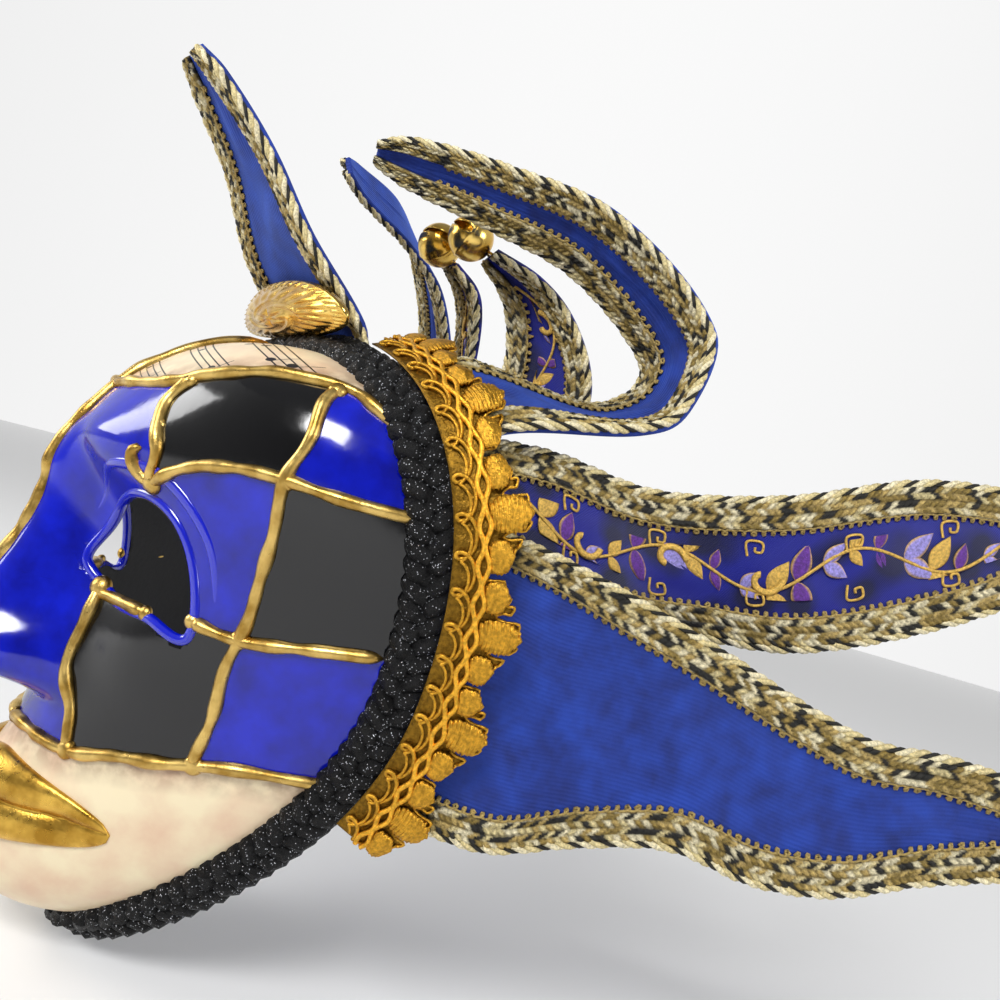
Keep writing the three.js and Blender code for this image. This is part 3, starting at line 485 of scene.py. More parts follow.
def painted_face():
    """Lacquer cells, paper with printed music and antiqued cream, all under varnish.

    The lacquer gives sharp reflections over a deep even colour, the paper a softer satin. The zone
    attribute holds distances in mm into the blue cells, the pale parts and the paper with music,
    and the page attribute holds mm along and across the printed lines.
    """
    made, tree = material("Lacquer and varnished paper on papier-mache")
    zone = node(tree, "SeparateXYZ", [(node(tree, "Attribute", attribute_name="zone"), "Vector")])
    page = node(tree, "SeparateXYZ", [(node(tree, "Attribute", attribute_name="page"), "Vector")])
    blue = node(tree, "MapRange", {"Value": (zone, 0), 1: -0.1, 2: 0.1})
    pale = node(tree, "MapRange", {"Value": (zone, 1), 1: -0.1, 2: 0.1})
    music = node(tree, "MapRange", {"Value": (zone, 2), 1: -0.1, 2: 0.1})

    # Staves of five lines 2 mm apart: the distance below a stave's top, folded to each line
    stave = node(tree, "Math", [(page, 1), STAVE_STEP], operation="DIVIDE")
    stave = node(tree, "Math", [stave], operation="FLOOR")
    stave_top = node(tree, "Math", [stave, STAVE_STEP], operation="MULTIPLY")
    down = node(tree, "Math", [(page, 1), stave_top], operation="SUBTRACT")
    ripple = node(tree, "Math", [down, 2.0], operation="MODULO")
    ripple = node(tree, "Math", [ripple, 1.0], operation="SUBTRACT")
    ripple = node(tree, "Math", [ripple], operation="ABSOLUTE")
    on_line = node(tree, "Math", [ripple, 0.2], operation="LESS_THAN")
    off_middle = node(tree, "Math", [down, 6.0], operation="SUBTRACT")
    off_middle = node(tree, "Math", [off_middle], operation="ABSOLUTE")
    inside = node(tree, "Math", [off_middle, 4.5], operation="LESS_THAN")
    lines = node(tree, "Math", [on_line, inside], operation="MULTIPLY")

    # At most one note in each cell of a stave: an oval head at a chance height and a stem beside it
    cell = node(tree, "Math", [(page, 0), NOTE_STEP], operation="DIVIDE")
    cell = node(tree, "Math", [cell], operation="FLOOR")
    key = node(tree, "CombineXYZ", [cell, stave, 0.0])
    luck = node(tree, "TexWhiteNoise", {"Vector": key})
    luck = node(tree, "SeparateColor", {"Color": (luck, "Color")})
    middle = node(tree, "Math", [cell, 0.4], operation="ADD")
    middle = node(tree, "Math", [middle, NOTE_STEP], operation="MULTIPLY")
    over = node(tree, "Math", [(page, 0), middle], operation="SUBTRACT")
    pitch = node(tree, "Math", [(luck, 0), 6.0], operation="MULTIPLY")
    pitch = node(tree, "Math", [pitch, 2.0], operation="ADD")
    pitch = node(tree, "Math", [down, pitch], operation="SUBTRACT")
    wide = node(tree, "Math", [over, 1.15], operation="DIVIDE")
    wide = node(tree, "Math", [wide, 2.0], operation="POWER")
    tall = node(tree, "Math", [pitch, 2.0], operation="POWER")
    oval = node(tree, "Math", [wide, tall], operation="ADD")
    head = node(tree, "Math", [oval, 1.3], operation="LESS_THAN")
    beside = node(tree, "Math", [over, 1.0], operation="SUBTRACT")
    beside = node(tree, "Math", [beside], operation="ABSOLUTE")
    beside = node(tree, "Math", [beside, 0.16], operation="LESS_THAN")
    above = node(tree, "Math", [pitch, 3.0], operation="SUBTRACT")
    above = node(tree, "Math", [above], operation="ABSOLUTE")
    above = node(tree, "Math", [above, 3.0], operation="LESS_THAN")
    stem = node(tree, "Math", [beside, above], operation="MULTIPLY")
    note = node(tree, "Math", [head, stem], operation="MAXIMUM")
    played = node(tree, "Math", [(luck, 1), 0.32], operation="GREATER_THAN")
    note = node(tree, "Math", [note, played], operation="MULTIPLY")
    ink = node(tree, "Math", [lines, note], operation="MAXIMUM")
    ink = node(tree, "Math", [ink, music], operation="MULTIPLY")

    # Cream antiqued with brown that gathers near the gold lines
    aged = node(tree, "MapRange", {"Value": grain(tree, 14, 6.0), 1: 0.35, 2: 0.70})
    off_line = node(tree, "Math", [(zone, 1)], operation="ABSOLUTE")
    near_line = node(tree, "MapRange", {"Value": off_line, 1: 0.0, 2: 9.0, 3: 0.75, 4: 0.0})
    patches = node(tree, "MapRange", {"Value": grain(tree, 5, 6.0), 1: 0.3, 2: 0.6})
    brown = node(tree, "Math", [near_line, patches], operation="MULTIPLY")
    cream = node(tree, "Mix", {0: aged, 6: colour("#e6d7b4"), 7: colour("#d8b79a")}, data_type="RGBA")
    cream = node(tree, "Mix", {0: brown, 6: (cream, 2), 7: colour("#6a3c1e")}, data_type="RGBA")
    printed = node(tree, "Mix", {0: ink, 6: (cream, 2), 7: colour("#14110f")}, data_type="RGBA")

    streak = node(tree, "MapRange", {"Value": grain(tree, 9, 4.0), 1: 0.3, 2: 0.7})
    deep = node(tree, "Mix", {0: streak, 6: colour("#020a86"), 7: colour("#0618b8")}, data_type="RGBA")
    lacquer = node(tree, "Mix", {0: blue, 6: colour("#050507"), 7: (deep, 2)}, data_type="RGBA")
    paint = node(tree, "Mix", {0: pale, 6: (lacquer, 2), 7: (printed, 2)}, data_type="RGBA")
    shade(tree, {"Base Color": (paint, 2),
                 "Roughness": node(tree, "MapRange", {"Value": pale, 3: 0.13, 4: 0.42}),
                 "Coat Weight": node(tree, "MapRange", {"Value": pale, 3: 0.2, 4: 0.1}),
                 "Coat Roughness": 0.05}, grain(tree, 6.0, 2.0), 0.10)
    return made


def plain(name, code, rough, size, depth):
    """Dull surface, a little lumpy, and lighter and darker in soft patches."""
    made, tree = material(name)
    tone = node(tree, "HueSaturation", {"Color": colour(code), "Value": node(
        tree, "MapRange", {"Value": grain(tree, size * 3), 1: 0.3, 2: 0.7, 3: 0.85, 4: 1.12})})
    shade(tree, {"Base Color": tone, "Roughness": rough}, grain(tree, size), depth)
    return made


def glitter_cord():
    """Black plaited lurex: fibres laid slantwise round the strands, tiny specks that glitter.

    Real specks are finer than the 0.4 mm here, which is as coarse as they need to be to show.
    """
    made, tree = material("Black glitter thread")
    specks = node(tree, "TexVoronoi", {"Vector": (node(tree, "TexCoord"), "Object"), "Scale": 2600.0})
    spark = node(tree, "SeparateColor", {"Color": (specks, "Color")})
    lit = node(tree, "Math", [(spark, 0), 0.86], operation="GREATER_THAN")
    small = node(tree, "Math", [(specks, "Distance"), 0.34], operation="LESS_THAN")
    lit = node(tree, "Math", [lit, small], operation="MULTIPLY")
    lay = node(tree, "SeparateXYZ", [(node(tree, "Attribute", attribute_name="lay"), "Vector")])
    wave = node(tree, "Math", [(lay, 0)], operation="SINE")
    height = node(tree, "Math", [wave, 0.6, grain(tree, 0.35, 4.0)], operation="MULTIPLY_ADD")
    speckled = node(tree, "Mix", {0: lit, 6: colour("#030304"), 7: colour("#dfe2ea")}, data_type="RGBA")
    shade(tree, {"Base Color": (speckled, 2),
                 "Metallic": node(tree, "Math", [lit, 0.5], operation="MULTIPLY"),
                 "Specular IOR Level": 0.25,
                 "Roughness": node(tree, "MapRange", {"Value": lit, 3: 0.5, 4: 0.2})}, height, 0.6)
    return made


def threads(name, rough, shine, size=0.35):
    """Thread whose colour comes from the piece's thread attribute, with a fine lay."""
    made, tree = material(name)
    base = node(tree, "Attribute", attribute_name="thread"), "Color"
    tone = node(tree, "HueSaturation", {"Color": base, "Value": node(
        tree, "MapRange", {"Value": grain(tree, size * 2), 1: 0.3, 2: 0.7, 3: 0.6, 4: 1.35})})
    shade(tree, {"Base Color": tone, "Roughness": rough, "Metallic": shine}, grain(tree, size, 3.0), 0.25)
    return made


def velvet():
    """Deep pile that brightens where it turns away, over fine knitted ribs 1.1 mm apart.

    The sheen stands for the pile's ends, and the ribs are a sine of the way across the cloth.
    """
    made, tree = material("Royal blue velvet")
    cloth = node(tree, "SeparateXYZ", [(node(tree, "Attribute", attribute_name="cloth"), "Vector")])
    ribs = node(tree, "Math", [(cloth, 1), 2 * math.pi / 1.1], operation="MULTIPLY")
    ribs = node(tree, "Math", [ribs], operation="SINE")
    tone = node(tree, "MapRange", {"Value": grain(tree, 7, 5.0), 1: 0.3, 2: 0.7})
    pile = node(tree, "Mix", {0: tone, 6: colour("#08216c"), 7: colour("#12389a")}, data_type="RGBA")
    height = node(tree, "Math", [ribs, 0.5, grain(tree, 0.5, 4.0)], operation="MULTIPLY_ADD")
    shade(tree, {"Base Color": (pile, 2),
                 "Roughness": 0.8, "Sheen Weight": 0.5, "Sheen Roughness": 0.4,
                 "Sheen Tint": colour("#5f8cff")}, height, 0.08)
    return made


def satin():
    """Blue satin ground of the brocade: fine slanting weave and soft tonal damask.

    The twill is a sine of the sum of the ways along and across the cloth, 0.7 mm a wave.
    """
    made, tree = material("Blue satin brocade")
    cloth = node(tree, "Attribute", attribute_name="cloth"), "Vector"
    part = node(tree, "SeparateXYZ", {"Vector": cloth})
    slant = node(tree, "Math", [(part, 0), (part, 1)], operation="ADD")
    twill = node(tree, "Math", [slant, 2 * math.pi / 0.7], operation="MULTIPLY")
    twill = node(tree, "Math", [twill], operation="SINE")
    damask = node(tree, "TexVoronoi", {"Vector": cloth, "Scale": 0.11}, feature="SMOOTH_F1")
    tone = node(tree, "MapRange", {"Value": (damask, "Distance"), 1: 0.25, 2: 0.55})
    weave = node(tree, "Mix", {0: tone, 6: colour("#040738"), 7: colour("#0d1680")}, data_type="RGBA")
    shade(tree, {"Base Color": (weave, 2), "Roughness": 0.42, "Specular IOR Level": 0.3,
                 "Sheen Weight": 0.1, "Sheen Tint": colour("#8a9cff")}, twill, 0.06)
    return made


FACE = painted_face()
# The inside of the shell is near black all over; this is what darkens the eye holes.
INSIDE = plain("Near-black papier-mache inside", "#121113", 0.7, 2.0, 0.25)
PASTE = metal("Antique gold paste", "#dcbb6e", "#a4803a", 0.33, 6.0)
GILT = metal("Gilt on papier-mache", "#e0b552", "#a67c2c", 0.30, 8.0)
CORD = glitter_cord()
LACE = threads("Gold lace thread", 0.40, 0.9, 0.5)
STAMPED = metal("Stamped gold-plated brass", "#f0cd72", "#c89838", 0.20, 9.0, 0.03)
VELVET = velvet()
SATIN = satin()
GIMP = threads("Gimp thread", 0.55, 0.25)
MOTIF = threads("Brocade weft thread", 0.42, 0.35)
EYE_EDGE, tree = material("Blue lacquer")
shade(tree, {"Base Color": colour("#0616b4"), "Roughness": 0.16, "Coat Weight": 0.9, "Coat Roughness": 0.06},
      grain(tree, 3.2, 4.0), 0.10)


# Face shell
def eye_line(mirror, count=160):
    outline = evenly(EYE_OUTLINE, count, closed=True)
    across = mirror * (EYE_ACROSS + outline[:, 0] * EYE_WIDTH)
    return np.stack([across, EYE_UP + outline[:, 1] * EYE_HEIGHT], -1)


def inside_of(line, x, y):
    """True for points inside a closed line: a ray to the right crosses it an odd number of times."""
    x0, y0 = line[:, 0], line[:, 1]
    x1, y1 = np.roll(x0, -1), np.roll(y0, -1)
    y = y[..., None]
    spans = (y0 > y) != (y1 > y)
    crossing = x0 + (y - y0) * (x1 - x0) / np.where(y1 == y0, 1e-9, y1 - y0)
    return (spans & (x[..., None] < crossing)).sum(-1) % 2 == 1


def zones(across, up):
    """Distances in mm into the blue cells, the paler parts and the paper with music."""
    rise = (up - RIM_CENTRE_UP) / HALF_HEIGHT
    width = HALF_WIDTH + CROWN_SPREAD * rise
    side = np.abs(across) / width
    heights = {k: np.interp(side, *np.array(LINES[k]).T) for k in ("brow", "temple", "cheek")}
    lid = np.array(LINES["lid_lower"] + LINES["lid_outer"])
    heights["lid"] = np.interp(side, lid[:, 0], lid[:, 1])
    tear = np.array(LINES["tear"][::-1] + LINES["lid_upper"])
    outer = np.array(LINES["side"])
    inner_edge = np.interp(rise, tear[:, 1], tear[:, 0])
    outer_edge = np.interp(rise, outer[:, 1], outer[:, 0])
    middle = side > inner_edge
    far = side > outer_edge
    between = (rise < heights["temple"]) & (rise > heights["lid"])
    blue = np.where(far, ~between, np.where(middle, between, True))
    blue = np.where(across < 0, ~blue, blue)
    gaps = [np.abs(side - inner_edge) * width, np.abs(side - outer_edge) * width, np.abs(across)]
    gaps += [np.abs(rise - heights[k]) * HALF_HEIGHT for k in ("temple", "lid")]
    nearest = np.minimum.reduce(gaps)
    above = (rise - heights["brow"]) * HALF_HEIGHT
    below = (heights["cheek"] - rise) * HALF_HEIGHT
    return np.stack([np.where(blue, nearest, -nearest), np.maximum(above, below), above], -1)


RINGS, SPOKES = 112, 240
degrees, _ = rim_degrees(0, 360, SPOKES + 1)
degrees = degrees[:-1]
share = np.sin(np.linspace(0, np.pi / 2, RINGS))[:, None]
side, rise = super_shares(share, degrees[None, :])
face_across, face_up = across_at(side, rise), up_at(rise)
lines = [eye_line(1), eye_line(-1)]
hole = inside_of(lines[0], face_across, face_up) | inside_of(lines[1], face_across, face_up)
faces = grid_faces(RINGS, SPOKES, wrap_cols=True)
faces = faces[faces[:, 2] >= 0]
cut = hole.ravel()[faces].sum(1) >= 2
edge_points = np.intersect1d(faces[cut], faces[~cut])
flat = np.stack([face_across.ravel(), face_up.ravel()], -1)
snap = np.concatenate(lines)
nearest = ((flat[edge_points][:, None] - snap[None]) ** 2).sum(-1).argmin(1)
flat[edge_points] = snap[nearest]
face_across, face_up = flat[:, 0], flat[:, 1]
front = face_point(face_across, face_up)
normal = face_normal(face_across, face_up)
rim_out = rim_frame(degrees)[3]
normal[-SPOKES:] = rim_out
front[-SPOKES:] = rim_point(degrees)
kept = faces[~cut]
tilt = np.radians(-14)
high = face_up - 0.45 * -front[:, 1]
page = np.stack([face_across * np.cos(tilt) + high * np.sin(tilt) + 500,
                 high * np.cos(tilt) - face_across * np.sin(tilt) + 500], -1)
shell = thick(front, front - normal * WALL, kept, zone=zones(face_across, face_up), page=page)
face_shell = piece("face_shell_painted", shell, FACE, ["face_shell"])
face_shell.data.materials.append(INSIDE)
looks = np.zeros(len(face_shell.data.polygons))
centres = np.zeros(3 * len(looks))
normals = np.zeros(3 * len(looks))
face_shell.data.polygons.foreach_get("center", centres)
face_shell.data.polygons.foreach_get("normal", normals)
centres, normals = centres.reshape(-1, 3) * 1000, normals.reshape(-1, 3)
outside = face_normal(centres[:, 0], centres[:, 2])
backs = ((outside * normals).sum(1) < 0).astype(np.int32)
face_shell.data.polygons.foreach_set("material_index", backs)

# Rolled edges of the eye holes, with a second crease round the upper outer side
CREASE = [(-0.56, 0.20), (-0.34, 0.58), (0.0, 0.70), (0.30, 0.66), (0.56, 0.32), (0.62, -0.2)]
edges = []
for mirror, line in zip((1, -1), lines):
    on = face_point(line[:, 0], line[:, 1])
    up = face_normal(line[:, 0], line[:, 1])
    edges.append(tube(on - up * 0.5, up, 1.5, 1.5, 12, closed=True))
    spread = evenly(CREASE, 90)
    x = mirror * (EYE_ACROSS + spread[:, 0] * EYE_WIDTH)
    y = EYE_UP + spread[:, 1] * EYE_HEIGHT
    on, up = face_point(x, y), face_normal(x, y)
    fade = np.sqrt(np.maximum(np.sin(np.linspace(0, np.pi, 90)), 0)) + 0.02
    edges.append(tube(on - up * 0.3, up, 1.7 * fade, 0.95 * fade, 12))
piece("rolled_eye_edges", edges, EYE_EDGE)


# Gold lines: half-buried beads of paste with an uneven width and rounded ends
def bead(shares, mirror=1, seed=0.0):
    shares = np.asarray(shares, float)
    path = evenly(np.stack([across_at(shares[:, 0], shares[:, 1]), up_at(shares[:, 1])], -1), 400)
    length = np.linalg.norm(np.diff(face_point(path[:, 0], path[:, 1]), axis=0), axis=1).sum()
    path = path[np.linspace(0, 399, max(12, int(length / 1.1))).astype(int)]
    x, y = mirror * path[:, 0], path[:, 1]
    n = len(x)
    s = np.linspace(0, length, n)
    x = x + 0.25 * np.sin(s / 4.3 + seed) * (np.abs(path[:, 0]) > 0.5)
    up = face_normal(x, y)
    wobble = 1 + 0.10 * np.sin(s / 3.1 + seed * 3) + 0.07 * np.sin(s / 1.7 + seed * 5)
    ends = np.sqrt(np.clip(np.minimum(s, length - s) / 1.8, 0.02, 1))
    width = LINE_WIDTH / 2 * wobble * ends
    return tube(face_point(x, y), up, width, 1.15 * width, 14)


def ball(across, up, radius, squash=0.7):
    """Flattened drop of paste on the face."""
    lift = np.linspace(0, np.pi, 10)[:, None]
    turn = np.linspace(0, 2 * np.pi, 18, endpoint=False)[None, :]
    normal = face_normal(np.array([across]), np.array([up]))[0]
    first = unit(np.cross(normal, (0.0, 0.0, 1.0)))
    second = np.cross(normal, first)
    x, y = np.sin(lift) * np.cos(turn), np.sin(lift) * np.sin(turn)
    shape = x[..., None] * first + y[..., None] * second
    shape = shape + (squash * np.cos(lift) * np.ones_like(turn))[..., None] * normal
    return solid(face_point(np.array([across]), np.array([up]))[0] + shape * radius)


paste = []
for mirror in (1, -1):
    paste += [bead(shares, mirror, 0.7 * k + mirror) for k, shares in enumerate(LINES.values())]
    paste += [ball(mirror * across_at(a, u), up_at(u), r) for a, u, r in BLOBS]
    curl = np.linspace(0, 1, 14)
    hook = np.stack([0.428 - 0.05 * np.sin(2.6 * curl), 0.40 + 0.045 * (1 - np.cos(3.2 * curl))], -1)
    paste.append(bead(hook, mirror, 2.0))
paste.append(bead(CENTRE_LINE))
piece("gold_paste_lines", paste, PASTE, ["gold_lines"])

# Gilt lips: an upper and a lower roll that part along a bowed line. Their outline is the root of
# 1 - |t|^1.6, with a dip in the middle of the upper edge, and each roll is the root of a sine.
t = np.linspace(-1, 1, 95)[:, None]
v = np.linspace(0, 1, 43)[None, :]
full = np.sqrt(np.maximum(1 - np.abs(t) ** 1.6, 0)) + 0.02
bow = 0.5 * LIP_HEIGHT * (full - 0.16 * np.exp(-((t / 0.16) ** 2)))
low = -0.5 * LIP_HEIGHT * full
lip_across, lip_up = t * LIP_HALF_WIDTH + 0 * v, LIP_UP + low + (bow - low) * v
part_at = 0.52 + 0.04 * np.cos(np.pi * t * 2)
roll = np.where(v < part_at, v / part_at, (1 - v) / (1 - part_at))
lip_high = 0.25 + 2.6 * np.sqrt(np.clip(np.sin(np.pi * roll), 0, 1)) * full
on, up = face_point(lip_across, lip_up), face_normal(lip_across, lip_up)
lip_front = (on + up * lip_high[..., None]).reshape(-1, 3)
lips = thick(lip_front, (on - up * 0.4).reshape(-1, 3), grid_faces(95, 43))
piece("gilt_lips_rolled", lips, GILT, ["gilt_lips"])

# Rim cord: three strands plaited over a core. Each swings sideways once and off the face twice
# in a plait's length, a third of a turn behind the one before.
STEPS = 560
around, rim_round = rim_degrees(0, 360, STEPS + 1)
around = around[:-1]
point, along, off, out = rim_frame(around)
core = point + off * ((CORD_OUT - CORD_IN) / 2) + out * ((CORD_FRONT - WALL - CORD_BACK) / 2)
plaits = round(rim_round / PLAIT_LENGTH)
phase = 2 * np.pi * plaits * np.arange(STEPS) / STEPS
lay = (np.arange(STEPS) * 2 * np.pi * round(rim_round / FIBRE_LAY) / STEPS)[:, None]
strands = [tube(core, out, 4.6, 4.6, 12, closed=True, lay=lay)]
for k in range(3):
    turn = phase + 2 * np.pi * k / 3
    path = core + off * (0.5 + 4.0 * np.sin(turn))[:, None] + out * (0.4 + 2.5 * np.sin(2 * turn))[:, None]
    strands.append(tube(path, out, 3.1, 3.9, 13, closed=True, lay=lay))
piece("plaited_rim_cord", strands, CORD, ["rim_cord"])


# Gold lace: scalloped ground, padded fingers in threes, two wavy cords and spirals at the cord
def on_lace(share, e, lift):
    """Point of the lace at a share of its run, e of its width off the cord, lifted in mm."""
    where = np.interp(share, np.linspace(0, 1, 400), lace_degrees)
    return off_rim(where, CORD_OUT + CLEAR + e * LACE_WIDTH, LACE_LIFT + lift)


def lace_out(share):
    return rim_frame(np.interp(share, np.linspace(0, 1, 400), lace_degrees))[3]


lace_degrees, lace_run = rim_degrees(LACE_FROM, LACE_TO, 400)
repeats = round(lace_run / LACE_REPEAT)
fingers = 3 * repeats
share = np.linspace(0, 1, fingers * 14 + 1)
beat = share * fingers
reach = 0.80 + 0.16 * np.cos(2 * np.pi * (beat / 3 - 0.5)) + 0.05 * np.abs(np.sin(np.pi * beat * 3)) \
    - 0.26 * np.exp(-((((beat + 0.5) % 1) - 0.5) / 0.10) ** 2)
e = np.linspace(0, 1, 12)[None, :] * reach[:, None]
s = share[:, None] + 0 * e
weave = 0.22 * np.sin(2 * np.pi * e * LACE_WIDTH / 1.6) * np.sin(np.pi * beat * 3)[:, None]
GOLD_THREAD = np.array(colour("#c9962f")[:3])
# Painted shade: the ground is dark gold, about a third as bright as the threads, for the shadow behind the
# open lace.
ground = GOLD_THREAD * 0.35 + 0 * e.reshape(-1, 1)
lace_front = on_lace(s, e, 0.8 + weave).reshape(-1, 3)
lace_back = on_lace(s, e, 0.4 + 0 * e).reshape(-1, 3)
lace_ground = thick(lace_front, lace_back, grid_faces(*e.shape), thread=ground)
lace_parts = []


def gold_thread(share, e, lift, radius, sides=6, shine=1.0):
    path = on_lace(share, e, lift + 0 * share)
    tint = np.tile(GOLD_THREAD * shine, (len(path), 1))
    return tube(path, lace_out(share), radius, radius, sides, thread=tint)


# Each finger is a thread that zigzags across it towards the tip, in loops that narrow at the end.
q = np.linspace(0, 1, 120)
for k in range(fingers):
    longest = k % 3 == 1
    tip = 1.0 if longest else 0.76
    swing = 2 * np.pi * 9.5 * q
    width = (0.43 if longest else 0.40) * np.sqrt(np.clip(1.02 - np.abs(2 * q - 0.9) ** 3, 0.05, 1))
    e = 0.48 + (tip - 0.48) * q + 0.012 * np.cos(2 * swing)
    lift = 1.5 + 0.9 * np.sin(np.pi * np.clip(q, 0, 1)) + 0.25 * np.cos(2 * swing)
    lace_parts.append(gold_thread((k + 0.5 + width * np.sin(swing)) / fingers, e, lift, 0.62, 5))
fine = np.linspace(0, 1, fingers * 18)
for shift, level in ((0.0, 0.44), (0.5, 0.36)):
    lace_parts.append(gold_thread(fine, level + 0.035 * np.sin(2 * np.pi * (fine * fingers + shift)), 1.9,
                                  0.72, 8, 1.35))
spiral = np.linspace(0, 1, fingers * 26)
swing = 2 * np.pi * spiral * fingers
lace_parts.append(gold_thread(spiral + 0.30 / fingers * np.sin(swing), 0.17 + 0.13 * np.cos(swing),
                              1.5 + 0.3 * np.sin(swing), 0.58, 6))
lace_parts.append(gold_thread(spiral + 0.14 / fingers * np.sin(swing + 1), 0.17 + 0.06 * np.cos(swing + 1),
                              1.7, 0.42))
edge = np.linspace(0, 1, fingers * 30)
wave = np.interp(edge, share, reach)
lace_parts.append(gold_thread(edge + 0.05 / fingers * np.sin(2 * np.pi * edge * fingers * 5),
                              wave + 0.022 * np.sin(2 * np.pi * edge * fingers * 5), 0.9, 0.42, 5))
lace_threads = merged(lace_parts)
laces = [(piece("gold_lace_ground" + ending, turned(lace_ground), LACE, ["lace" + ending]),
          piece("gold_lace_threads" + ending, turned(lace_threads), LACE))
         for ending, turned in (("_left", dict), ("_right", mirrored))]

# Medallion: pressed oval with a beaded border, gadroons, scrolls and a flower in the middle. Each
# ring of relief is a cosine of the turn, faded by a bell curve of the share out from the middle.
share = np.linspace(0, 1, 50)[:, None]
turn = np.linspace(0, 2 * np.pi, 176, endpoint=False)[None, :]
dome = np.interp(share, [0, 0.3, 0.55, 0.78, 0.92, 1], [1, 0.93, 0.74, 0.42, 0.14, 0])
beads = np.maximum(np.cos(44 * turn), 0) * np.exp(-((share - 0.92) / 0.035) ** 2)
gadroon = np.abs(np.cos(11 * turn + 3 * share)) * np.exp(-((share - 0.70) / 0.13) ** 2)
flower = np.abs(np.cos(3 * turn)) ** 0.6 * np.exp(-((share - 0.20) / 0.10) ** 2)
heart = np.exp(-(share / 0.07) ** 2)
scroll = np.maximum(np.sin(4 * turn + 26 * share), 0) * np.exp(-((share - 0.44) / 0.10) ** 2)
fine_relief = 0.9 * beads + 0.8 * gadroon + 0.9 * flower + 1.0 * heart + 0.7 * scroll
rise_mm = MEDALLION_RISE * dome + fine_relief
lean, stand = math.cos(math.radians(MEDALLION_TILT)), math.sin(math.radians(MEDALLION_TILT))
seat = CORD_FRONT + CLEAR + MEDALLION_DEEP * stand


def on_medallion(x, y, high):
    reach_up = TOP_REACH / HALF_HEIGHT
    along_share = x / across_at(1, reach_up)
    cosine = np.sign(along_share) * np.abs(along_share) ** (TOP_ROUND / 2)
    where = np.degrees(np.arccos(np.clip(cosine, -1, 1)))
    return off_rim(where, y * lean - high * stand - CORD_IN / 8, seat + y * stand + high * lean)


x, y = share * np.cos(turn) * MEDALLION_ACROSS * 1.12, share * np.sin(turn) * MEDALLION_DEEP * 1.15
front = on_medallion(x, y, rise_mm + 1.6)
back = on_medallion(x * 0.98, y * 0.96, MEDALLION_RISE * dome * 0.9 + 0 * turn)
medallion = thick(front.reshape(-1, 3), back.reshape(-1, 3), grid_faces(50, 176, wrap_cols=True))
piece("stamped_medallion", medallion, STAMPED, ["medallion"])

# Colours of the braid's threads: gold, cream, black and brown gold
TONES = np.array([colour(c)[:3] for c in ("#b39a5a", "#ddd2ae", "#17150f", "#8a7436", "#cdbd8a")])


def point_surface(root, layer, seat, length, base, sections):
    """Middle surface of a cloth point and the way it faces, at a share along and a share across."""
    seat, depth = CORD_OUT + CLEAR + seat, -layer * LAYER_STEP

    def degrees_at(across):
        return (root[0] + root[1]) / 2 + across * (root[1] - root[0]) / 2

    def root_edge(across):
        across = np.asarray(across, float)
        return off_rim(degrees_at(across), seat + 0 * across, depth + 0 * across)

    ends = root_edge([-1, 1])
    start, half = ends.mean(0), (ends[1] - ends[0]) / 2
    ats = [0] + [section[0] for section in sections]
    centres = np.array([start] + [start + place(*section[1]) * length for section in sections])
    halves = np.array([half] + [place(*section[2]) * base for section in sections])

    def surface(along, across):
        along, across = np.broadcast_arrays(np.asarray(along, float), np.asarray(across, float))
        bend = (1 - smooth(along / 0.3))[..., None]
        flat_part = cubic(ats, centres, along) + cubic(ats, halves, along) * across[..., None]
        curl = root_edge(across) - start - half * across[..., None]
        return flat_part + curl * bend

    def facing(along, across):
        along, across = np.broadcast_arrays(np.asarray(along, float), np.asarray(across, float))
        after, before = np.minimum(1, along + 0.02), np.maximum(0, along - 0.02)
        right_of, left_of = np.minimum(1, across + 0.1), np.maximum(-1, across - 0.1)
        step_along = surface(after, across) - surface(before, across)
        step_across = surface(along, right_of) - surface(along, left_of)
        bent = unit(np.cross(step_across, step_along))
        sewn = rim_frame(degrees_at(across))[3]
        share = smooth(along / 0.15)[..., None]
        return unit(sewn * (1 - share) + bent * share)

    def half_width(along):
        return np.linalg.norm(surface(along, 1.0) - surface(along, -1.0), axis=-1) / 2

    return surface, facing, half_width


def even_along(surface, edge, spacing):
    """Shares along a point whose places on one edge are evenly spaced, and the distances in mm."""
    fine = np.linspace(0, 1, 600)
    run = np.concatenate([[0], np.cumsum(np.linalg.norm(np.diff(surface(fine, edge), axis=0), axis=1))])
    count = max(8, int(run[-1] / spacing))
    s = np.linspace(0, run[-1], count)
    return np.interp(s, run, fine), s


def make_panel(shape, folds):
    """Cloth of a point, with soft waves of a height in mm between its two braids."""
    surface, facing, half_width = shape
    along, s = even_along(surface, 0.0, 1.6)
    across = np.linspace(-1, 1, 25)[None, :]
    along = along[:, None] + 0 * across
    width = half_width(along)
    inner = np.maximum(0.02, 1 - BRAID_WIDTH / width)
    soft = np.clip(1 - (across / np.maximum(inner, 0.05)) ** 2, 0, 1)
    s = s[:, None]
    waves = np.sin(s / 9 + 2.2 * across + 1.2 * np.sin(s / 21)) + 0.6 * np.sin(s / 4.7 - 3 * across)
    fold = folds * soft * waves
    middle, up = surface(along, across), facing(along, across)
    front = middle + up * (CLOTH / 2 + fold)[..., None]
    back = middle + up * (fold - CLOTH / 2)[..., None]
    cloth = np.stack([s + 0 * across, across * width, 0 * width], -1)
    part = thick(front.reshape(-1, 3), back.reshape(-1, 3), grid_faces(*width.shape), cloth=cloth)
    a, b, c = (front.reshape(-1, 3)[grid_faces(*width.shape)[:, k]] for k in range(3))
    area = np.linalg.norm(np.cross(b - a, c - a), axis=1).sum() / 2
    return part, area, 2 * float(width.max()), float(s[-1, 0])


STRIP_TO = 8.6                # mm from a point's edge to the inner side of its woven strip
PLY = (STRIP_TO - 0.9) / 4    # width of one of its four rows


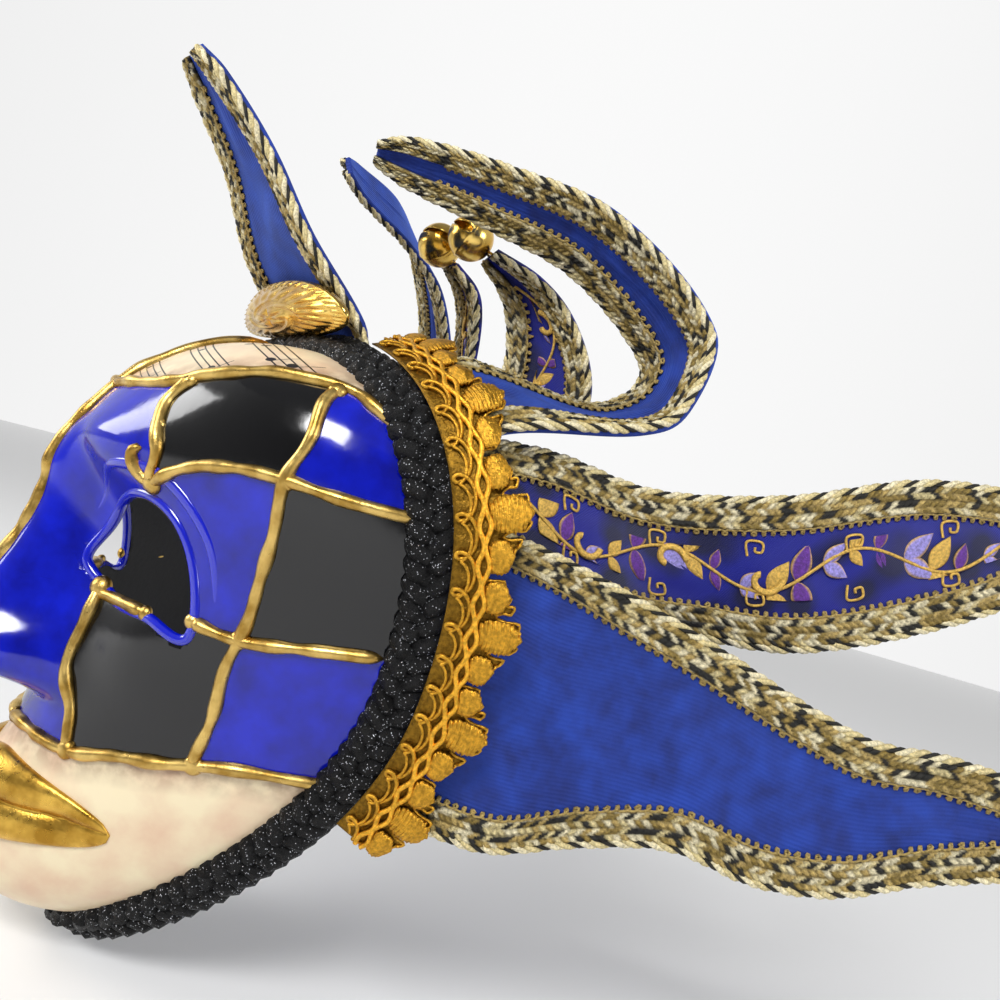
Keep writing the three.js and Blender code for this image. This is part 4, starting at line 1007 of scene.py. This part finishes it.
def make_braid(shape):
    """Two woven strips with a twisted cord outside and picots inside, on both edges of a point."""
    surface, facing, half_width = shape
    parts = []
    for edge in (-1, 1):
        along, s = even_along(surface, edge, 0.6)
        width = half_width(along)
        inner = np.maximum(0, 1 - BRAID_WIDTH / width)

        def on_strip(k, t, height):
            """Place on the strip at station k, t from the outer edge to the inner, height in mm."""
            across = edge * (1 - t * (1 - inner[k]))
            return surface(along[k], across) + facing(along[k], across) * np.asarray(height)[..., None]

        rows = np.arange(len(s))[:, None]
        w = np.linspace(0.9, STRIP_TO, 19)[None, :]
        t = w / BRAID_WIDTH
        ply = np.floor((w - 0.9) / PLY)
        slant = np.where(ply % 2 == 0, 1, -1)
        in_ply = (w - 0.9) / PLY % 1
        count = s[:, None] / BAR_STEP + slant * (in_ply - 0.5) * 0.9 + 0.37 * ply
        bar, within = np.floor(count), count % 1
        crown = np.sqrt(np.clip(np.sin(np.pi * within), 0, 1))
        crown = crown * np.clip(np.sin(np.pi * in_ply), 0.05, 1) ** 0.4
        height = CLOTH / 2 + 0.8 + 1.2 * crown
        tone = np.floor(chance(bar, ply + edge) * 4.999).astype(int)
        # Painted shade: each thread darkens towards the dips between the bars, and the strip's walls go
        # black down to the cloth.
        shadow = 0.35 + 0.65 * crown[..., None]
        top = on_strip(rows, t, height)
        low = on_strip(rows, t[:, [-1, 0]], np.full((len(s), 2), CLOTH / 2 + 0.1))
        rings = np.concatenate([top, low], axis=1)
        shades = np.concatenate([TONES[tone] * shadow, np.tile(TONES[2], (len(s), 2, 1))], axis=1)
        parts.append(solid(rings, thread=shades))

        outer, s_cord = even_along(surface, edge, 1.15)
        line = surface(outer, edge)
        up = facing(outer, edge)
        away = unit(surface(outer, edge) - surface(outer, edge * 0.9))
        for k, tone in enumerate((1, 2, 4)):
            turn = 2 * np.pi * (s_cord / TWIST_LENGTH + k / 3)
            path = line - away * (0.4 + 0.7 * np.cos(turn))[:, None]
            path = path + up * (1.3 + 0.7 * np.sin(turn))[:, None]
            thin = 0.5 if tone == 2 else 0.78
            parts.append(tube(path, up, thin, thin, 6, thread=np.tile(TONES[tone], (len(path), 1))))

        loops = int(s[-1] * 0.9 / PICOT_STEP)
        u = np.linspace(0, 1, loops * 9)
        swing = 2 * np.pi * loops * u
        k = np.interp(u * 0.9 + 0.35 / loops * np.sin(swing), np.linspace(0, 1, len(s)), np.arange(len(s)))
        k = np.clip(np.round(k).astype(int), 0, len(s) - 1)
        path = on_strip(k, (STRIP_TO + 0.7 * (1 - np.cos(swing))) / BRAID_WIDTH, 1.4 + 0.3 * np.cos(swing))
        parts.append(tube(path, facing(along[k], edge * inner[k]), 0.42, 0.42, 4,
                          thread=np.tile(TONES[0] * 0.8, (len(path), 1))))
    return merged(parts)


def make_motifs(shape, length, start):
    """Woven leaves in pairs along a vine, with a gold hook and a row of steps near the tip."""
    surface, facing, half_width = shape
    fine = np.linspace(0, 1, 600)
    run = np.concatenate([[0], np.cumsum(np.linalg.norm(np.diff(surface(fine, 0.0), axis=0), axis=1))])

    def on_cloth(s, w, height):
        along = np.interp(s, run, fine)
        across = np.clip(w / half_width(along), -1, 1)
        return surface(along, across) + facing(along, across) * (CLOTH / 2 + 0.15 + height)[..., None]

    gold, purple, pale = (np.array(colour(c)[:3]) for c in ("#c8a24c", "#5a2a86", "#8f86c8"))
    n = int((length - start - 12) / LEAF_STEP)
    k = np.repeat(np.arange(n), 2)[:, None, None]
    pair = np.tile([-1, 1], n)[:, None, None]
    s0 = start + k * LEAF_STEP
    w0 = 5 * np.sin(k * 0.9)
    angle = pair * (0.95 + 0.35 * np.sin(k * 2.1))
    size = 8.5 + 2.5 * np.cos(k * 1.3)
    u = np.linspace(0, 1, 12)[None, :, None]
    v = np.linspace(-1, 1, 7)[None, None, :]
    spread = size * 0.26 * np.sin(np.pi * u ** 0.8) * v
    s = s0 + np.cos(angle) * size * u - np.sin(angle) * spread
    w = w0 + np.sin(angle) * size * u + np.cos(angle) * spread
    along = np.interp(s, run, fine)
    room = np.maximum(half_width(along) - BRAID_WIDTH - 0.5, 0.2)
    w = np.clip(w, -room, room)
    height = 0.12 + 0.38 * (1 - v ** 2) * np.sin(np.pi * u) - 0.15 * np.exp(-(v / 0.2) ** 2)
    front = on_cloth(s, w, height)
    back = on_cloth(s, w, -0.3 + 0 * height)
    pick = (k % 3)[..., None]
    tint = np.where(pick == 0, gold, np.where(pick == 1, purple, pale)) + 0 * s[..., None]
    tint = np.where((np.abs(v) > 0.7)[..., None], gold, tint)
    leaf = grid_faces(12, 7)
    leaves = (leaf[None] + 84 * np.arange(2 * n)[:, None, None]).reshape(-1, 3)
    parts = [thick(front.reshape(-1, 3), back.reshape(-1, 3), leaves, thread=tint)]
    s = np.linspace(start - 4, length - 14, 220)
    w = 5 * np.sin((s - start) / LEAF_STEP * 0.9)
    along = np.interp(s, run, fine)
    path = on_cloth(s, w, 0.2 + 0 * s)
    parts.append(tube(path, facing(along, 0.0 * s), 0.5, 0.35, 6, thread=np.tile(gold, (220, 1))))
    turn = np.linspace(0, 4.4, 70)
    for centre, flip in ((start + 14, 1), (start + 40, -1), (start + 66, 1)):
        if centre < length - 25:
            radius = 5.5 * np.exp(-0.32 * turn)
            s, w = centre + radius * np.cos(turn), flip * (radius * np.sin(turn) + 1.5)
            path = on_cloth(s, w, 0.45 + 0 * s)
            up = facing(np.interp(s, run, fine), 0 * s)
            parts.append(tube(path, up, 0.95, 0.6, 7, thread=np.tile(gold * 1.15, (70, 1))))
    fret = np.array([(0, 0), (0, 4), (4, 4), (4, 1.4), (2.2, 1.4), (2.2, 2.6)])
    corner = evenly(fret, 60)
    for shift in np.arange(start + 8, length - 30, 27):
        for flip in (-1, 1):
            s, w = shift + corner[:, 0], flip * (corner[:, 1] - 2 + 6.5)
            path = on_cloth(s, w, 0.2 + 0 * s)
            up = facing(np.interp(s, run, fine), 0 * s)
            parts.append(tube(path, up, 0.4, 0.3, 6, thread=np.tile(gold, (60, 1))))
    return merged(parts)


def make_bell(shape):
    """Hollow pressed ball with a slot across its far side, two round ends and a seam line."""
    surface, _, _ = shape
    tip = surface(1.0, 0.0)
    onward = unit(tip - surface(0.95, 0.0))
    first = unit(np.cross(onward, (0.0, 0.0, 1.0)))
    second = np.cross(onward, first)
    centre = tip + onward * (BELL_RADIUS + CLEAR + 0.3)
    lift = np.linspace(0, np.pi, 46)[:, None]
    turn = np.linspace(0, 2 * np.pi, 64, endpoint=False)[None, :]
    seam = 0.35 * np.exp(-((lift - 1.45) / 0.045) ** 2)
    ball_shape = BELL_RADIUS - 0.3 + seam
    x, y, z = np.sin(lift) * np.cos(turn), np.sin(lift) * np.sin(turn), np.cos(lift) + 0 * turn
    outer = ((x * ball_shape)[..., None] * first + (y * ball_shape)[..., None] * second
             + (z * ball_shape)[..., None] * onward)
    slot = (np.abs(y * BELL_RADIUS) < 0.95) & (lift < 1.05)
    knob = ((np.abs(x * BELL_RADIUS) - 6.4) ** 2 + (y * BELL_RADIUS) ** 2 < 2.6) & (lift < 1.4)
    gone = (slot | knob).ravel()
    faces = grid_faces(46, 64, wrap_cols=True)
    faces = faces[gone[faces].sum(1) < 2]
    part = thick((centre + outer).reshape(-1, 3), (centre + outer * 0.93).reshape(-1, 3), faces)
    loop = np.linspace(0, 2 * np.pi, 40, endpoint=False)
    ring = centre - onward * (BELL_RADIUS + 0.5) + first * (1.8 * np.cos(loop))[:, None] \
        - onward * (1.4 * np.sin(loop))[:, None]
    return merged([part, tube(ring, np.tile(second, (40, 1)), 0.5, 0.5, 8, closed=True)])


for name, spec in POINTS.items():
    shape = point_surface(*spec)
    brocade = spec[1] == 1
    panel, area, widest, length = make_panel(shape, 0.35 if brocade else 0.75)
    braid = make_braid(shape)
    for ending in ([""] if name == "top_point" else ["_left", "_right"]):
        turned = mirrored if ending == "_right" else (lambda part: part)
        cloth = piece(f"{name}_cloth{ending}", turned(panel), SATIN if brocade else VELVET,
                      [name + ending])
        trim = piece(f"{name}_woven_braid{ending}", turned(braid), GIMP,
                     [f"{name}_braid{ending}"])
        if brocade:
            motifs = make_motifs(shape, length, 28)
            piece(f"{name}_woven_leaves{ending}", turned(motifs), MOTIF)
        if name == "bell_point":
            piece("jingle_bell" + ending, turned(make_bell(shape)), STAMPED,
                  ["bell" + ending])

# Camera, floor and lights
camera = bpy.data.objects.new("Camera", bpy.data.cameras.new("Camera"))
bpy.context.scene.collection.objects.link(camera)
camera.data.lens = LENS
camera.data.sensor_width = SENSOR
camera.data.clip_start = 0.01
turn = unit(np.array([CAMERA_RIGHT, CAMERA_UP, CAMERA_BACK])).T
camera.matrix_world = Matrix.Translation(CAMERA_AT) @ Matrix(turn.tolist()).to_4x4()
bpy.context.scene.camera = camera

floor_mesh = bpy.data.meshes.new("Floor")
corners = [(x * STAGE_REACH, y * STAGE_REACH, FLOOR_UP) for x, y in ((-1, -1), (1, -1), (1, 1), (-1, 1))]
floor_mesh.from_pydata(corners, [], [(0, 1, 2, 3)])
floor = bpy.data.objects.new("Floor", floor_mesh)
bpy.context.scene.collection.objects.link(floor)
FLOOR, tree = material("Pale floor")
shade(tree, {"Base Color": colour("#dedede"), "Roughness": 0.7, "Emission Color": colour("#ffffff"),
             "Emission Strength": 0.10})
floor_mesh.materials.append(FLOOR)
# Round paper wall, brightest behind the mask as the camera sees it and dim behind the camera
angle = np.linspace(0, 2 * np.pi, WALL_SIDES, endpoint=False)
ring = np.stack([STAGE_REACH * np.cos(angle), STAGE_REACH * np.sin(angle)], -1)
low = np.concatenate([ring, np.full((WALL_SIDES, 1), FLOOR_UP)], 1)
high = np.concatenate([ring, np.full((WALL_SIDES, 1), float(STAGE_REACH))], 1)
k = np.arange(WALL_SIDES)
after = (k + 1) % WALL_SIDES
wall_mesh = bpy.data.meshes.new("Backdrop")
wall_faces = np.stack([after, k, k + WALL_SIDES, after + WALL_SIDES], -1)
wall_mesh.from_pydata(np.concatenate([low, high]).tolist(), [], wall_faces.tolist())
glow = 0.53 + 0.41 * np.cos(angle - math.atan2(-CAMERA_BACK[1], -CAMERA_BACK[0]))
data = wall_mesh.attributes.new("glow", "FLOAT", "POINT").data
data.foreach_set("value", np.tile(glow, 2))
wall = bpy.data.objects.new("Backdrop", wall_mesh)
bpy.context.scene.collection.objects.link(wall)
PAPER, tree = material("White paper backdrop")
shade(tree, {"Base Color": colour("#141414"), "Roughness": 0.9, "Emission Color": colour("#ffffff"),
             "Emission Strength": (node(tree, "Attribute", attribute_name="glow"), "Fac")})
wall_mesh.materials.append(PAPER)

for label, place_m, aim, size, watts in (
        ("Key light", (0.75, -0.85, 0.95), (0.0, 0.0, 0.02), 0.45, 17),
        ("Fill light", (0.95, 0.55, 0.45), (0.05, 0.05, 0.03), 0.35, 4),
        ("Front light", (-0.55, -0.95, 0.45), (0.0, -0.02, 0.0), 0.5, 6)):
    lamp = bpy.data.lights.new(label, "AREA")
    lamp.size = size
    lamp.energy = watts
    light = bpy.data.objects.new(label, lamp)
    bpy.context.scene.collection.objects.link(light)
    back_way = unit(np.array(place_m) - np.array(aim))
    side_way = unit(np.cross((0.0, 0.0, 1.0), back_way))
    axes = np.array([side_way, np.cross(back_way, side_way), back_way]).T
    light.matrix_world = Matrix.Translation(place_m) @ Matrix(axes.tolist()).to_4x4()

world = bpy.data.worlds.new("Pale room")
world.use_nodes = True
world.node_tree.nodes.clear()
sky = node(world.node_tree, "Background", {"Color": colour("#f6f7fa"), "Strength": 0.30})
node(world.node_tree, "OutputWorld", {"Surface": sky})
bpy.context.scene.world = world
bpy.context.scene.view_settings.view_transform = "Standard"
